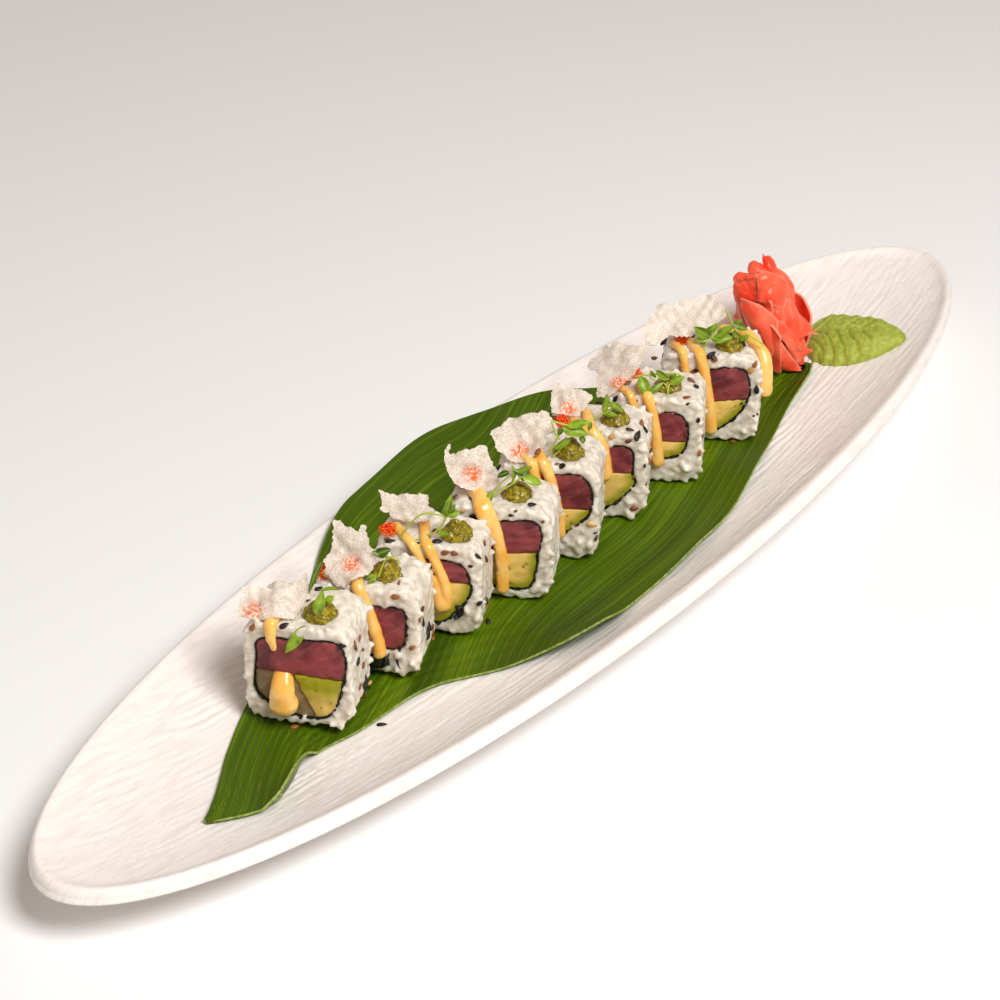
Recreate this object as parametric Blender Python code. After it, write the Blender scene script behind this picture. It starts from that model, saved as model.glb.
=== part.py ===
"""Eight cut pieces of inside-out sushi roll in a row on a green leaf, on a long oval stoneware platter.

Sizes here are in millimetres, and each finished mesh is scaled to metres when it is made.
The origin is the middle of the platter's foot, +X runs along the platter and +Z is up.
A roll's own frame has X across its cut face, Y along the roll, away from that face, and Z up from its base.
"""

import math
import random
from collections import namedtuple

import bmesh
import bpy
from mathutils import Matrix, Vector, noise
from mathutils.bvhtree import BVHTree

MM = 0.001
CLEARANCE = 0.45
REST_GAP = 0.8
SHEET_GAP = 0.6
FAR_ABOVE = 200.0

# How a piece finds its support: samples each way from its middle, and how far its foot reaches up its corner
SAMPLES = 5
FOOT_MARGIN = 2.0

# Platter: an ellipse with a rounded lip, a flat middle and a rising inner wall
HALF_LENGTH = 224.9
HALF_WIDTH = 58.0
RIM_HEIGHT = 20.0
LIP_WIDTH = 5.0
FLOOR_HEIGHT = 6.5
LIP_FOOT_HEIGHT = 18.4
FLAT_SHARE = 0.42
PLATE_SIDES = 42

# Platter section: foot and wall (share of the inner half size, height), lip (inset, height), upper side
UNDERSIDE = ((0.56, 0.0), (0.76, 3.4), (0.92, 8.8))
LIP = ((0.6, 14.8), (0.0, 17.8), (1.0, 19.5), (2.8, RIM_HEIGHT), (LIP_WIDTH, LIP_FOOT_HEIGHT))
UPPER_SHARES = (0.88, 0.74, 0.58, FLAT_SHARE)

# Leaf: distance along the platter, then its near and its far edge across the platter
LEAF_STATIONS = (
    (-176.5, -10.2, -9.0),
    (-166.5, -17.2, -3.0),
    (-158.5, -20.4, 2.4),
    (-149.0, -17.6, 8.8),
    (-133.0, -12.2, 17.6),
    (-117.0, -14.5, 24.5),
    (-86.0, -17.6, 36.5),
    (-64.0, -30.0, 47.0),
    (-45.0, -43.5, 53.5),
    (-16.0, -40.5, 56.8),
    (10.0, -40.0, 56.2),
    (42.0, -34.5, 51.0),
    (75.0, -25.0, 41.0),
    (108.0, -14.0, 26.0),
    (132.0, -8.5, 11.0),
    (141.0, -4.6, -2.0),
)
LEAF_THICKNESS = 0.8
LEAF_STEPS = 34
LEAF_ACROSS = (0.0, 0.10, 0.3, 0.5, 0.72, 1.0)
CURL_HEIGHT = 6.0
CURL_MIDDLE = -148.0
CURL_REACH = 16.0

# The first rolls press the narrow end of the leaf flat up to here, and its edges wave fully after the fade
HELD_UNTIL = -115.0
HELD_FADE = 55.0

# Rolls: place and turn of the cut face, outer size, walls of rice round the filling,
# height where the fillings part, or 0 for a single filling
Roll = namedtuple("Roll", "x y turn width height length left right bottom top split")
ROLLS = (
    Roll(-126.7, 1.1, 25.8, 31.5, 34.0, 22.0, 4.4, 3.0, 3.4, 5.2, 15.8),
    Roll(-94.7, 3.4, 25.8, 33.0, 30.0, 19.5, 4.6, 4.8, 9.0, 5.6, 0.0),
    Roll(-67.6, 1.9, 27.8, 33.0, 31.0, 19.0, 4.6, 3.8, 4.6, 5.2, 18.0),
    Roll(-40.0, -3.4, 28.8, 33.0, 32.5, 20.0, 4.6, 4.2, 4.4, 5.0, 16.2),
    Roll(-13.4, -1.8, 29.8, 32.5, 34.0, 20.5, 4.6, 4.2, 9.6, 4.8, 17.6),
    Roll(14.8, -0.6, 30.8, 32.5, 31.5, 19.8, 4.6, 5.4, 6.2, 5.2, 17.0),
    Roll(43.3, -2.4, 30.8, 33.0, 31.5, 20.5, 4.6, 5.2, 8.8, 5.2, 15.6),
    Roll(76.4, -2.9, 30.8, 33.5, 32.5, 21.5, 4.6, 4.2, 4.8, 5.0, 15.6),
)
CORNER = 6.5
HOLE_CORNER = 3.5
BUMP = 0.5
BUMP_SPACING = 4.6
EDGE_ROUNDING = 1.8
RICE_SIDES = 28
NORI_CORNER = 3.8
NORI_THICKNESS = 0.8
ARC_STEPS = 2
FILLING_RECESS = 0.7
FILLING_BEVEL = 0.7

# First roll only: where the avocado's inner side starts across the face, and how far that side leans
AVOCADO_START = -2.5
AVOCADO_LEAN = 8.0

# Sauce strands: radius, points on the top (across, along), on the cut face (across, height over the base)
# and on the right side (distance out from it, along, depth under the top)
Strand = namedtuple("Strand", "radius on_top on_face on_side", defaults=((),))
STRANDS = {
    1: (
        Strand(1.8, ((-8.0, 6.0), (-7.0, 2.5)), ((-6.0, 29.0),)),
        Strand(4.2, (), ((-3.8, 19.0), (-4.0, 9.0), (-4.0, 4.6))),
    ),
    2: (
        Strand(1.7, ((-12.5, 4.0), (-7.0, 2.6)), ()),
        Strand(2.1, ((-5.0, 8.0), (-3.0, 2.5)), ((0.8, 24.0), (3.6, 14.0), (4.6, 7.5))),
    ),
    3: (
        Strand(1.6, ((-11.0, 9.0), (-7.0, 2.5)), ((0.5, 21.0), (4.6, 10.5))),
        Strand(1.6, ((-3.0, 12.0), (-1.0, 2.5)), ((3.2, 25.0), (5.6, 18.0), (5.8, 10.5))),
    ),
    4: (Strand(2.2, ((-7.5, 7.0), (-5.0, 2.5)), ((-0.6, 25.0), (1.2, 14.0), (1.6, 3.0))),),
    5: (
        Strand(1.7, ((-9.0, 5.0), (-7.0, 2.5)), ((-1.0, 22.0), (4.0, 9.5))),
        Strand(1.8, ((-4.0, 9.0), (-2.5, 2.5)), ((2.8, 23.0), (4.6, 9.5))),
    ),
    6: (
        Strand(1.8, ((-8.0, 4.0), (-6.5, 2.5)), ((-2.0, 23.0), (2.2, 17.0))),
        Strand(2.0, ((-4.5, 12.0), (-2.5, 2.5)), ((2.0, 26.0), (3.2, 17.0))),
    ),
    7: (
        Strand(1.5, ((-12.0, 7.0), (-9.0, 2.5)), ((-4.0, 20.0), (1.6, 7.5))),
        Strand(1.8, ((-5.0, 8.0), (-3.0, 2.5)), ((1.0, 21.0), (2.4, 7.5))),
    ),
    8: (
        Strand(1.6, ((-13.0, 6.0), (-11.0, 2.5)), ((-7.0, 20.0), (0.0, 3.5))),
        Strand(2.0, ((-7.5, 7.0), (-5.0, 2.5)), ((-1.5, 23.0), (1.2, 3.5))),
        Strand(
            2.2,
            ((3.0, 18.0), (8.0, 15.8)),
            (),
            ((-5.0, 12.5, -1.4), (0.2, 8.0, 2.5), (1.2, 5.0, 7.0), (1.4, 3.2, 14.0)),
        ),
    ),
}
STRAND_SIDES = 5
STRAND_SINK = 0.55
FACE_SINK = 0.15

# Roe heaps beside the crisps: across, along
ROE = {
    1: (-10.5, 9.0),
    2: (-13.0, 6.0),
    3: (-12.8, 7.0),
    4: (-12.5, 13.5),
    5: (-11.5, 12.5),
    6: (-12.0, 5.5),
    7: (-8.0, 15.0),
}
ROE_RADIUS = 2.6

# Crisps: across, along, height over the top, half width, half depth, lean in degrees, points of the outline
Crisp = namedtuple("Crisp", "across along up half_width half_depth lean lobes")
CRISPS = (
    Crisp(-6.6, 10.8, 4.9, 9.4, 7.8, 20, 4),
    Crisp(-6.1, 10.2, 8.8, 8.9, 9.4, 38, 5),
    Crisp(-9.2, 13.7, 5.2, 7.4, 5.2, 30, 6),
    Crisp(-10.0, 11.5, 7.4, 7.6, 7.6, 38, 4),
    Crisp(-9.2, 9.2, 7.6, 9.0, 7.8, 38, 7),
    Crisp(-9.5, 11.8, 5.4, 6.3, 5.6, 30, 5),
    Crisp(-11.5, 9.5, 9.4, 10.4, 10.2, 38, 6),
    Crisp(-8.6, 12.4, 8.2, 12.4, 8.8, 38, 7),
)
CRISP_THICKNESS = 0.9
CRISP_SIDES = 14

# Relish mounds: across, along, radius, height
RELISH = (
    (5.4, 7.6, 5.2, 5.0),
    (4.6, 8.6, 5.0, 6.2),
    (7.6, 8.0, 5.0, 5.0),
    (4.6, 8.8, 5.0, 4.8),
    (6.2, 7.8, 5.0, 5.6),
    (5.0, 8.8, 4.8, 4.6),
    (4.2, 8.0, 4.8, 4.6),
    (5.8, 7.6, 5.2, 5.0),
)
RELISH_SIDES = 8

# Sprigs of cress: across and along at the root, turn of the stem in degrees, length, leaf pairs
Sprig = namedtuple("Sprig", "across along turn length pairs")
SPRIGS = (
    Sprig(7.4, 9.6, 84, 8.0, 1),
    Sprig(6.0, 8.6, 52, 9.5, 2),
    Sprig(-3.6, 3.4, 34, 16.0, 2),
    Sprig(-2.6, 3.4, 36, 16.0, 2),
    Sprig(2.6, 7.4, 34, 12.0, 2),
    Sprig(-0.6, 7.2, 30, 12.0, 2),
    Sprig(-3.0, 3.8, 22, 16.0, 2),
    Sprig(-3.6, 2.6, 22, 18.0, 2),
)
STEM_HALF = 0.45
LEAF_PAIR_HALF = 3.8

# Sesame seeds fused to the rice: half sizes
SEED_HALF = (1.6, 0.95, 0.5)

# Pickled ginger rose and the leaf carved of green horseradish paste
GINGER = (136.0, 6.0)
GINGER_RADIUS = 12.0
GINGER_HEIGHT = 37.0
GINGER_PETALS = 5
PASTE_LEAF = (160.5, -9.4)
PASTE_TURN = -66.0
PASTE_LENGTH = 37.0
PASTE_WIDTH = 30.0
PASTE_HEIGHT = 8.0
PASTE_EDGE = 1.6


def finish(name, colour, roughness):
    """A Principled material with one colour, given in linear values."""
    material = bpy.data.materials.new(name)
    material.use_nodes = True
    shader = material.node_tree.nodes["Principled BSDF"]
    shader.inputs["Base Color"].default_value = (*colour, 1.0)
    shader.inputs["Roughness"].default_value = roughness
    shader.inputs["Metallic"].default_value = 0.0
    return material


def mesh_object(name, points, faces, material=None, parent=None):
    """A smooth-shaded object from points in millimetres, with all its faces pointing out."""
    mesh = bpy.data.meshes.new(name)
    mesh.from_pydata([Vector(point) * MM for point in points], [], faces)
    work = bmesh.new()
    work.from_mesh(mesh)
    bmesh.ops.recalc_face_normals(work, faces=work.faces)
    work.to_mesh(mesh)
    work.free()
    mesh.shade_smooth()
    mesh.set_sharp_from_angle(angle=math.radians(40))
    obj = bpy.data.objects.new(name, mesh)
    obj.parent = parent
    if material:
        mesh.materials.append(material)
    bpy.context.scene.collection.objects.link(obj)
    return obj


def loft(rings, closed=False):
    """Points and faces of a skin over rings of equal count, with flat caps or joined end to end."""
    count = len(rings[0])
    points = [point for ring in rings for point in ring]
    faces = []
    for row in range(len(rings) if closed else len(rings) - 1):
        low = row * count
        high = (row + 1) % len(rings) * count
        for k in range(count):
            after = (k + 1) % count
            faces.append((low + k, low + after, high + after, high + k))
    if not closed:
        faces.append(tuple(range(count)))
        faces.append(tuple(range(len(points) - count, len(points)))[::-1])
    return points, faces


def sweep(path, radii, sides):
    """Rings of a round strand along a path, with a radius at each of its points."""
    rings = []
    side = None
    for i, point in enumerate(path):
        ahead = Vector(path[min(i + 1, len(path) - 1)]) - Vector(path[max(i - 1, 0)])
        ahead.normalize()
        side = ahead.orthogonal() if side is None else side - ahead * side.dot(ahead)
        side.normalize()
        other = ahead.cross(side)
        angles = [2 * math.pi * k / sides for k in range(sides)]
        rings.append([Vector(point) + (side * math.cos(a) + other * math.sin(a)) * radii[i] for a in angles])
    return rings


def smooth_path(points, steps):
    """A Catmull-Rom curve through the points, with this many steps between two of them."""
    knots = [Vector(point) for point in points]
    knots = [2 * knots[0] - knots[1], *knots, 2 * knots[-1] - knots[-2]]
    path = []
    for a, b, c, d in zip(knots, knots[1:], knots[2:], knots[3:]):
        for i in range(steps):
            t = i / steps
            square = (2 * a - 5 * b + 4 * c - d) * t**2
            cube = (3 * b - a - 3 * c + d) * t**3
            path.append(0.5 * (2 * b + (c - a) * t + square + cube))
    path.append(knots[-2])
    return path


def rounded_loop(left, right, low, high, corner, arc_steps):
    """An upright rectangle with round corners, as (across, height) pairs."""
    loop = []
    corners = ((right, high, 0), (left, high, 90), (left, low, 180), (right, low, 270))
    for x, z, start in corners:
        middle_x = x - math.copysign(corner, x - (left + right) / 2)
        middle_z = z - math.copysign(corner, z - (low + high) / 2)
        for i in range(arc_steps + 1):
            angle = math.radians(start + 90 * i / arc_steps)
            loop.append(Vector((middle_x + corner * math.cos(angle), middle_z + corner * math.sin(angle))))
    return loop


def even_steps(outline, count):
    """The closed outline again, as this many points at even steps along it."""
    ends = outline + outline[:1]
    lengths = [(b - a).length for a, b in zip(ends, ends[1:])]
    step = sum(lengths) / count
    found = []
    travelled = 0.0
    for a, b, length in zip(ends, ends[1:], lengths):
        while len(found) < count and len(found) * step < travelled + length:
            found.append(a.lerp(b, (len(found) * step - travelled) / length))
        travelled += length
    return found


def sheet(grid, thickness):
    """A thin closed body over a grid of points, with both faces split alike and its thickness upwards."""
    rows, columns = len(grid), len(grid[0])
    lower = [Vector(point) for row in grid for point in row]
    upper = [point + normal * thickness for point, normal in zip(lower, grid_normals(grid))]
    size = rows * columns
    faces = []
    for r in range(rows - 1):
        for c in range(columns - 1):
            a, d = r * columns + c, (r + 1) * columns + c
            b, e = a + 1, d + 1
            faces += [(a, d, b), (b, d, e), (a + size, b + size, d + size), (b + size, e + size, d + size)]
    edge = list(range(columns))
    edge += [r * columns + columns - 1 for r in range(1, rows)]
    edge += [(rows - 1) * columns + c for c in reversed(range(columns - 1))]
    edge += [r * columns for r in reversed(range(1, rows - 1))]
    for a, b in zip(edge, edge[1:] + edge[:1]):
        faces += [(a, b, b + size), (a, b + size, a + size)]
    return lower + upper, faces


def grid_normals(grid):
    """The upward normal at each point of a grid."""
    rows, columns = len(grid), len(grid[0])
    normals = []
    for r in range(rows):
        for c in range(columns):
            along = Vector(grid[min(r + 1, rows - 1)][c]) - Vector(grid[max(r - 1, 0)][c])
            across = Vector(grid[r][min(c + 1, columns - 1)]) - Vector(grid[r][max(c - 1, 0)])
            normal = along.cross(across)
            normals.append((normal if normal.z >= 0 else -normal).normalized())
    return normals


def blob(name, centre, half, turn, detail, roughness, seed):
    """A lumpy ball as a helper object, with half sizes along its own axes and a turn matrix."""
    work = bmesh.new()
    bmesh.ops.create_icosphere(work, subdivisions=detail, radius=1.0)
    points = []
    for vertex in work.verts:
        swell = 1 + roughness * noise.noise(vertex.co * 1.7 + Vector((seed, 0, 0)))
        local = Vector([vertex.co[axis] * half[axis] * swell for axis in range(3)])
        points.append(Vector(centre) + turn @ local)
    faces = [[vertex.index for vertex in face.verts] for face in work.faces]
    work.free()
    return mesh_object(name, points, faces)


def keep_largest_shell(mesh):
    """Removes sealed hollows and loose scraps that a union left, and keeps the outer skin."""
    work = bmesh.new()
    work.from_mesh(mesh)
    bmesh.ops.remove_doubles(work, verts=work.verts, dist=1e-6)
    left = set(work.verts)
    shells = []
    while left:
        start = left.pop()
        shell = {start}
        front = [start]
        while front:
            for edge in front.pop().link_edges:
                for vertex in edge.verts:
                    if vertex in left:
                        left.remove(vertex)
                        shell.add(vertex)
                        front.append(vertex)
        shells.append(shell)
    shells.sort(key=len)
    scraps = [vertex for shell in shells[:-1] for vertex in shell]
    bmesh.ops.delete(work, geom=scraps, context="VERTS")
    bmesh.ops.triangulate(work, faces=work.faces)
    work.to_mesh(mesh)
    work.free()


def fuse(obj, extras, solver="EXACT"):
    """Joins the extra objects to obj by one union, and removes them."""
    group = bpy.data.collections.new(obj.name + "_extras")
    bpy.context.scene.collection.children.link(group)
    for extra in extras:
        bpy.context.scene.collection.objects.unlink(extra)
        group.objects.link(extra)
    union = obj.modifiers.new("Union", "BOOLEAN")
    union.operation = "UNION"
    union.operand_type = "COLLECTION"
    union.collection = group
    union.solver = solver
    bpy.context.view_layer.update()
    joined = bpy.data.meshes.new_from_object(obj.evaluated_get(bpy.context.evaluated_depsgraph_get()))
    obj.modifiers.remove(union)
    old = obj.data
    obj.data = joined
    joined.name = old.name
    bpy.data.meshes.remove(old)
    for extra in list(group.objects):
        bpy.data.objects.remove(extra)
    bpy.data.collections.remove(group)
    keep_largest_shell(joined)
    joined.shade_smooth()
    joined.set_sharp_from_angle(angle=math.radians(40))


def with_middles(points, faces):
    """The points and the middle of each face."""
    return list(points) + [sum((points[k] for k in face), Vector()) / len(face) for face in faces]


def drop_onto(points, faces, supports):
    """The points moved up or down so that the piece rests just clear of the highest thing under it."""
    piece = BVHTree.FromPolygons(points, faces)
    gaps = []
    for support in supports:
        corners = [vertex.co / MM for vertex in support.data.vertices]
        sides = [tuple(face.vertices) for face in support.data.polygons]
        ground = BVHTree.FromPolygons(corners, sides)
        for point in with_middles(points, faces):
            hit = ground.ray_cast(Vector((point.x, point.y, FAR_ABOVE)), Vector((0, 0, -1)))[0]
            if hit:
                gaps.append(point.z - hit.z)
        for corner in with_middles(corners, sides):
            hit = piece.ray_cast(Vector((corner.x, corner.y, -FAR_ABOVE)), Vector((0, 0, 1)))[0]
            if hit:
                gaps.append(hit.z - corner.z)
    drop = Vector((0, 0, min(gaps) - REST_GAP))
    return [point - drop for point in points]


def platter_height(x, y):
    """Height of the platter's upper side over a point, with the lip's top taken as flat."""
    share = math.hypot(x / (HALF_LENGTH - LIP_WIDTH), y / (HALF_WIDTH - LIP_WIDTH))
    rise = max(0.0, share - FLAT_SHARE) / (1 - FLAT_SHARE)
    return min(RIM_HEIGHT, FLOOR_HEIGHT + (LIP_FOOT_HEIGHT - FLOOR_HEIGHT) * rise**2)


def make_platter(material):
    """The oval platter: foot, outer wall, rounded lip and dished upper side, as rings from below."""

    def ring(half_length, half_width, height):
        angles = [2 * math.pi * k / PLATE_SIDES for k in range(PLATE_SIDES)]
        return [(half_length * math.cos(a), half_width * math.sin(a), height) for a in angles]

    inner_length, inner_width = HALF_LENGTH - LIP_WIDTH, HALF_WIDTH - LIP_WIDTH
    rings = []
    for share, height in UNDERSIDE:
        rings.append(ring(inner_length * share, inner_width * share, height))
    for inset, height in LIP:
        rings.append(ring(HALF_LENGTH - inset, HALF_WIDTH - inset, height))
    for share in UPPER_SHARES:
        height = platter_height(inner_length * share, 0.0)
        rings.append(ring(inner_length * share, inner_width * share, height))
    return mesh_object("plate", *loft(rings), material)


def leaf_edges(x):
    """The near and the far edge of the leaf at a distance along the platter, eased between the stations."""
    last = len(LEAF_STATIONS) - 1
    place = next((i for i in range(last) if x <= LEAF_STATIONS[i + 1][0]), last - 1)
    before, after = LEAF_STATIONS[place], LEAF_STATIONS[place + 1]
    gap = after[0] - before[0]
    t = (x - before[0]) / gap
    edges = []
    for k in (1, 2):
        slopes = []
        for i in (place, place + 1):
            one, other = LEAF_STATIONS[max(i - 1, 0)], LEAF_STATIONS[min(i + 1, last)]
            slopes.append((other[k] - one[k]) / (other[0] - one[0]) * gap)
        eased = (3 - 2 * t) * t**2
        bend = slopes[0] * t * (1 - t) ** 2 - slopes[1] * t**2 * (1 - t)
        edges.append(before[k] + (after[k] - before[k]) * eased + bend)
    return edges


def leaf_point(x, share):
    """A point of the leaf's underside, with wavy edges, a lift over the rim and a curl at one end."""
    near, far = leaf_edges(x)
    y = near + (far - near) * share
    over_rim = max(0.0, y / HALF_WIDTH - 0.74) * 13.0
    edge = abs(2 * share - 1) ** 3
    loose = min(1.0, max(0.2, (x - HELD_UNTIL) / HELD_FADE))
    wave = 1.1 * loose * edge * (1 + math.sin(x * 0.11 + 2 * share))
    curl = CURL_HEIGHT * max(0.0, 1 - ((x - CURL_MIDDLE) / CURL_REACH) ** 2) * max(0.0, 1 - share / 0.1)
    bulge = 2.6 * math.exp(-(((x + 46) / 14) ** 2)) * max(0.0, 1 - share / 0.3)
    return Vector((x, y + 0.12 * curl, platter_height(x, y) + SHEET_GAP + over_rim + wave + curl + bulge))


def make_leaf(material):
    """The leaf that lines the platter, as one thin wavy body."""
    start, end = LEAF_STATIONS[0][0], LEAF_STATIONS[-1][0]
    grid = []
    for i in range(LEAF_STEPS + 1):
        x = start + (end - start) * i / LEAF_STEPS
        grid.append([leaf_point(x, share) for share in LEAF_ACROSS])
    return mesh_object("leaf", *sheet(grid, LEAF_THICKNESS), material)


def highest_under(tree, middle, turn, half_across, half_along):
    """The highest point of the leaf, or of the platter beyond it, under a turned rectangle."""
    along = Vector((math.cos(turn), math.sin(turn)))
    across = Vector((along.y, -along.x))
    heights = []
    for i in range(-SAMPLES, SAMPLES + 1):
        for k in range(-SAMPLES, SAMPLES + 1):
            place = middle + (across * half_across * i + along * half_along * k) / SAMPLES
            hit = tree.ray_cast(Vector((*place, FAR_ABOVE)) * MM, Vector((0, 0, -1)))[0]
            heights.append(hit.z / MM if hit else platter_height(*place))
    return max(heights)


def roll_empty(number, roll, tree):
    """An empty on the leaf, in the middle of the base of the roll's cut face, that carries its pieces."""
    turn = math.radians(roll.turn)
    along = Vector((math.cos(turn), math.sin(turn)))
    centre = Vector((roll.x, roll.y)) + along * roll.length / 2
    half_across = roll.width / 2 - CORNER + FOOT_MARGIN
    base = highest_under(tree, centre, turn, half_across, roll.length / 2) + CLEARANCE
    empty = bpy.data.objects.new(f"roll_{number}", None)
    empty.location = Vector((roll.x, roll.y, base)) * MM
    empty.rotation_euler = (0, 0, turn - math.pi / 2)
    bpy.context.scene.collection.objects.link(empty)
    return empty


def hole_of(roll, inset=0.0):
    """Left, right, low and high side of the space for the fillings, drawn in on every side."""
    half = roll.width / 2
    low, high = roll.bottom + inset, roll.height - roll.top - inset
    return (-half + roll.left + inset, half - roll.right - inset, low, high)


def rice_ring(number, roll, empty, material):
    """The wall of rice round the fillings, with grain-sized bumps on all its open faces."""
    half = roll.width / 2
    outer = even_steps(rounded_loop(-half, half, 0.0, roll.height, CORNER, 12), RICE_SIDES)
    inner = even_steps(rounded_loop(*hole_of(roll), HOLE_CORNER, 12), RICE_SIDES)
    middle = Vector((0.0, roll.height / 2))
    rings = []
    depths = [EDGE_ROUNDING, roll.length * 0.36, roll.length * 0.64, roll.length - EDGE_ROUNDING]
    for depth in (0.0, *depths, roll.length):
        inset = 0.0 if depth in depths else EDGE_ROUNDING * 0.7
        ring = []
        for point in outer:
            out = (point - middle).normalized()
            place = Vector((point.x, depth, point.y)) / BUMP_SPACING + Vector((number * 31.7, 0, 0))
            swell = 2.0 * BUMP * noise.noise(place * 1.6) - inset
            bumped = depth + BUMP * noise.noise(place * 1.9)
            ring.append(Vector((point.x + out.x * swell, bumped, point.y + out.y * swell)))
        rings.append(ring)
    for depth in (roll.length, 0.0):
        rings.append([Vector((point.x, depth, point.y)) for point in inner])
    for ring in rings:
        for point in ring:
            point.z = max(0.0, point.z)
    return mesh_object(f"rice_{number}", *loft(rings, closed=True), material, empty)


def strand_path(strand, roll):
    """Where a strand of sauce runs: over the top, round its front edge and down the cut face."""
    top = roll.height + strand.radius - STRAND_SINK
    front = -strand.radius + FACE_SINK
    points = [(across, along, top) for across, along in strand.on_top]
    if strand.on_top and strand.on_face:
        across = strand.on_top[-1][0] * 0.6 + strand.on_face[0][0] * 0.4
        points.append((across, front * 0.55, roll.height + strand.radius * 0.1))
    points += [(across, front, height) for across, height in strand.on_face]
    points += [(roll.width / 2 + out, along, roll.height - depth) for out, along, depth in strand.on_side]
    return points


def strand_object(name, points, radius):
    """A strand of thick sauce with a thin start and a round end."""
    path = smooth_path(points, 2)
    radii = [radius] * len(path)
    radii[0] = radius * 0.55
    end = (path[-1] - path[-2]).normalized()
    path.append(path[-1] + end * radius * 0.7)
    radii.append(radius * 0.5)
    return mesh_object(name, *loft(sweep(path, radii, STRAND_SIDES)))


def seed_objects(number, roll):
    """One sesame seed pressed into the top of the rice and one into its right side."""
    draw = random.Random(100 + number)
    seeds = []
    for on_side in (False, True):
        spin = Matrix.Rotation(draw.uniform(0, math.pi), 3, "Z")
        if on_side:
            middle = (roll.length / 2 + draw.uniform(-1, 1), roll.height / 2 + draw.uniform(-1, 1))
            place = (roll.width / 2 + 0.1, *middle)
            spin = Matrix.Rotation(math.pi / 2, 3, "Y") @ spin
        else:
            place = (draw.uniform(-1, 1) + CORNER - roll.width / 2, roll.length * 0.15, roll.height + 0.1)
        seeds.append(blob("seed", place, SEED_HALF, spin, 1, 0.0, number))
    return seeds


def make_rice(number, roll, empty, material):
    """The rice of one roll with its sauce, seeds and roe fused on."""
    rice = rice_ring(number, roll, empty, material)
    extras = [strand_object("strand", strand_path(strand, roll), strand.radius) for strand in STRANDS[number]]
    if number in ROE:
        across, along = ROE[number]
        half = (ROE_RADIUS, ROE_RADIUS, ROE_RADIUS * 0.6)
        centre = (across, along, roll.height + 0.4)
        extras.append(blob("roe", centre, half, Matrix.Identity(3), 1, 0.3, number))
    extras += seed_objects(number, roll)
    for extra in extras:
        extra.parent = empty
    fuse(rice, extras)
    return rice


def prism(name, loop, start, end, bevel, material, empty):
    """A filling: its outline on the cut face run through the roll, with softened edges."""
    middle = sum(loop, Vector((0.0, 0.0))) / len(loop)
    rings = []
    for depth, shrink in ((start, bevel), (start + bevel, 0.0), (end - bevel, 0.0), (end, bevel)):
        ring = []
        for point in loop:
            inward = (middle - point).normalized() * shrink
            ring.append((point.x + inward.x, depth, point.y + inward.y))
        rings.append(ring)
    return mesh_object(name, *loft(rings), material, empty)


def cut_loop(loop, origin, normal):
    """The part of a convex outline on the far side of a line from its normal."""
    origin, normal = Vector(origin), Vector(normal)
    kept = []
    for a, b in zip(loop, loop[1:] + loop[:1]):
        side_a, side_b = (a - origin).dot(normal), (b - origin).dot(normal)
        if side_a <= 0:
            kept.append(a)
        if side_a * side_b < 0:
            kept.append(a.lerp(b, side_a / (side_a - side_b)))
    return kept


def make_nori(number, roll, empty, material):
    """The thin band of seaweed between the rice and the fillings."""
    outer = rounded_loop(*hole_of(roll, CLEARANCE), NORI_CORNER, ARC_STEPS)
    inset = CLEARANCE + NORI_THICKNESS
    inner = rounded_loop(*hole_of(roll, inset), NORI_CORNER - NORI_THICKNESS, ARC_STEPS)
    rings = []
    for loop, depth in ((outer, 0.4), (outer, roll.length - 0.4), (inner, roll.length - 0.4), (inner, 0.4)):
        rings.append([(point.x, depth, point.y) for point in loop])
    return mesh_object(f"nori_{number}", *loft(rings, closed=True), material, empty)


def make_fillings(number, roll, empty, finishes):
    """Tuna over avocado, and in the first roll a wedge of pale fish beside the avocado."""
    inset = CLEARANCE * 2 + NORI_THICKNESS
    loop = rounded_loop(*hole_of(roll, inset), NORI_CORNER - NORI_THICKNESS - CLEARANCE, ARC_STEPS)
    ends = (FILLING_RECESS, roll.length - FILLING_RECESS)
    upper = cut_loop(loop, (0, roll.split + CLEARANCE / 2), (0, -1)) if roll.split else loop
    prism(f"tuna_{number}", upper, *ends, FILLING_BEVEL, finishes["tuna"], empty)
    if not roll.split:
        return
    lower = cut_loop(loop, (0, roll.split - CLEARANCE / 2), (0, 1))
    if number == 1:
        normal = Vector((roll.bottom - roll.split, -AVOCADO_LEAN)).normalized()
        line = Vector((AVOCADO_START, roll.split))
        beside = cut_loop(lower, line, -normal)
        prism("white_fish_1", beside, *ends, FILLING_BEVEL, finishes["white_fish"], empty)
        lower = cut_loop(lower, line - normal * CLEARANCE, normal)
    prism(f"avocado_{number}", lower, *ends, FILLING_BEVEL, finishes["avocado"], empty)


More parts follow.
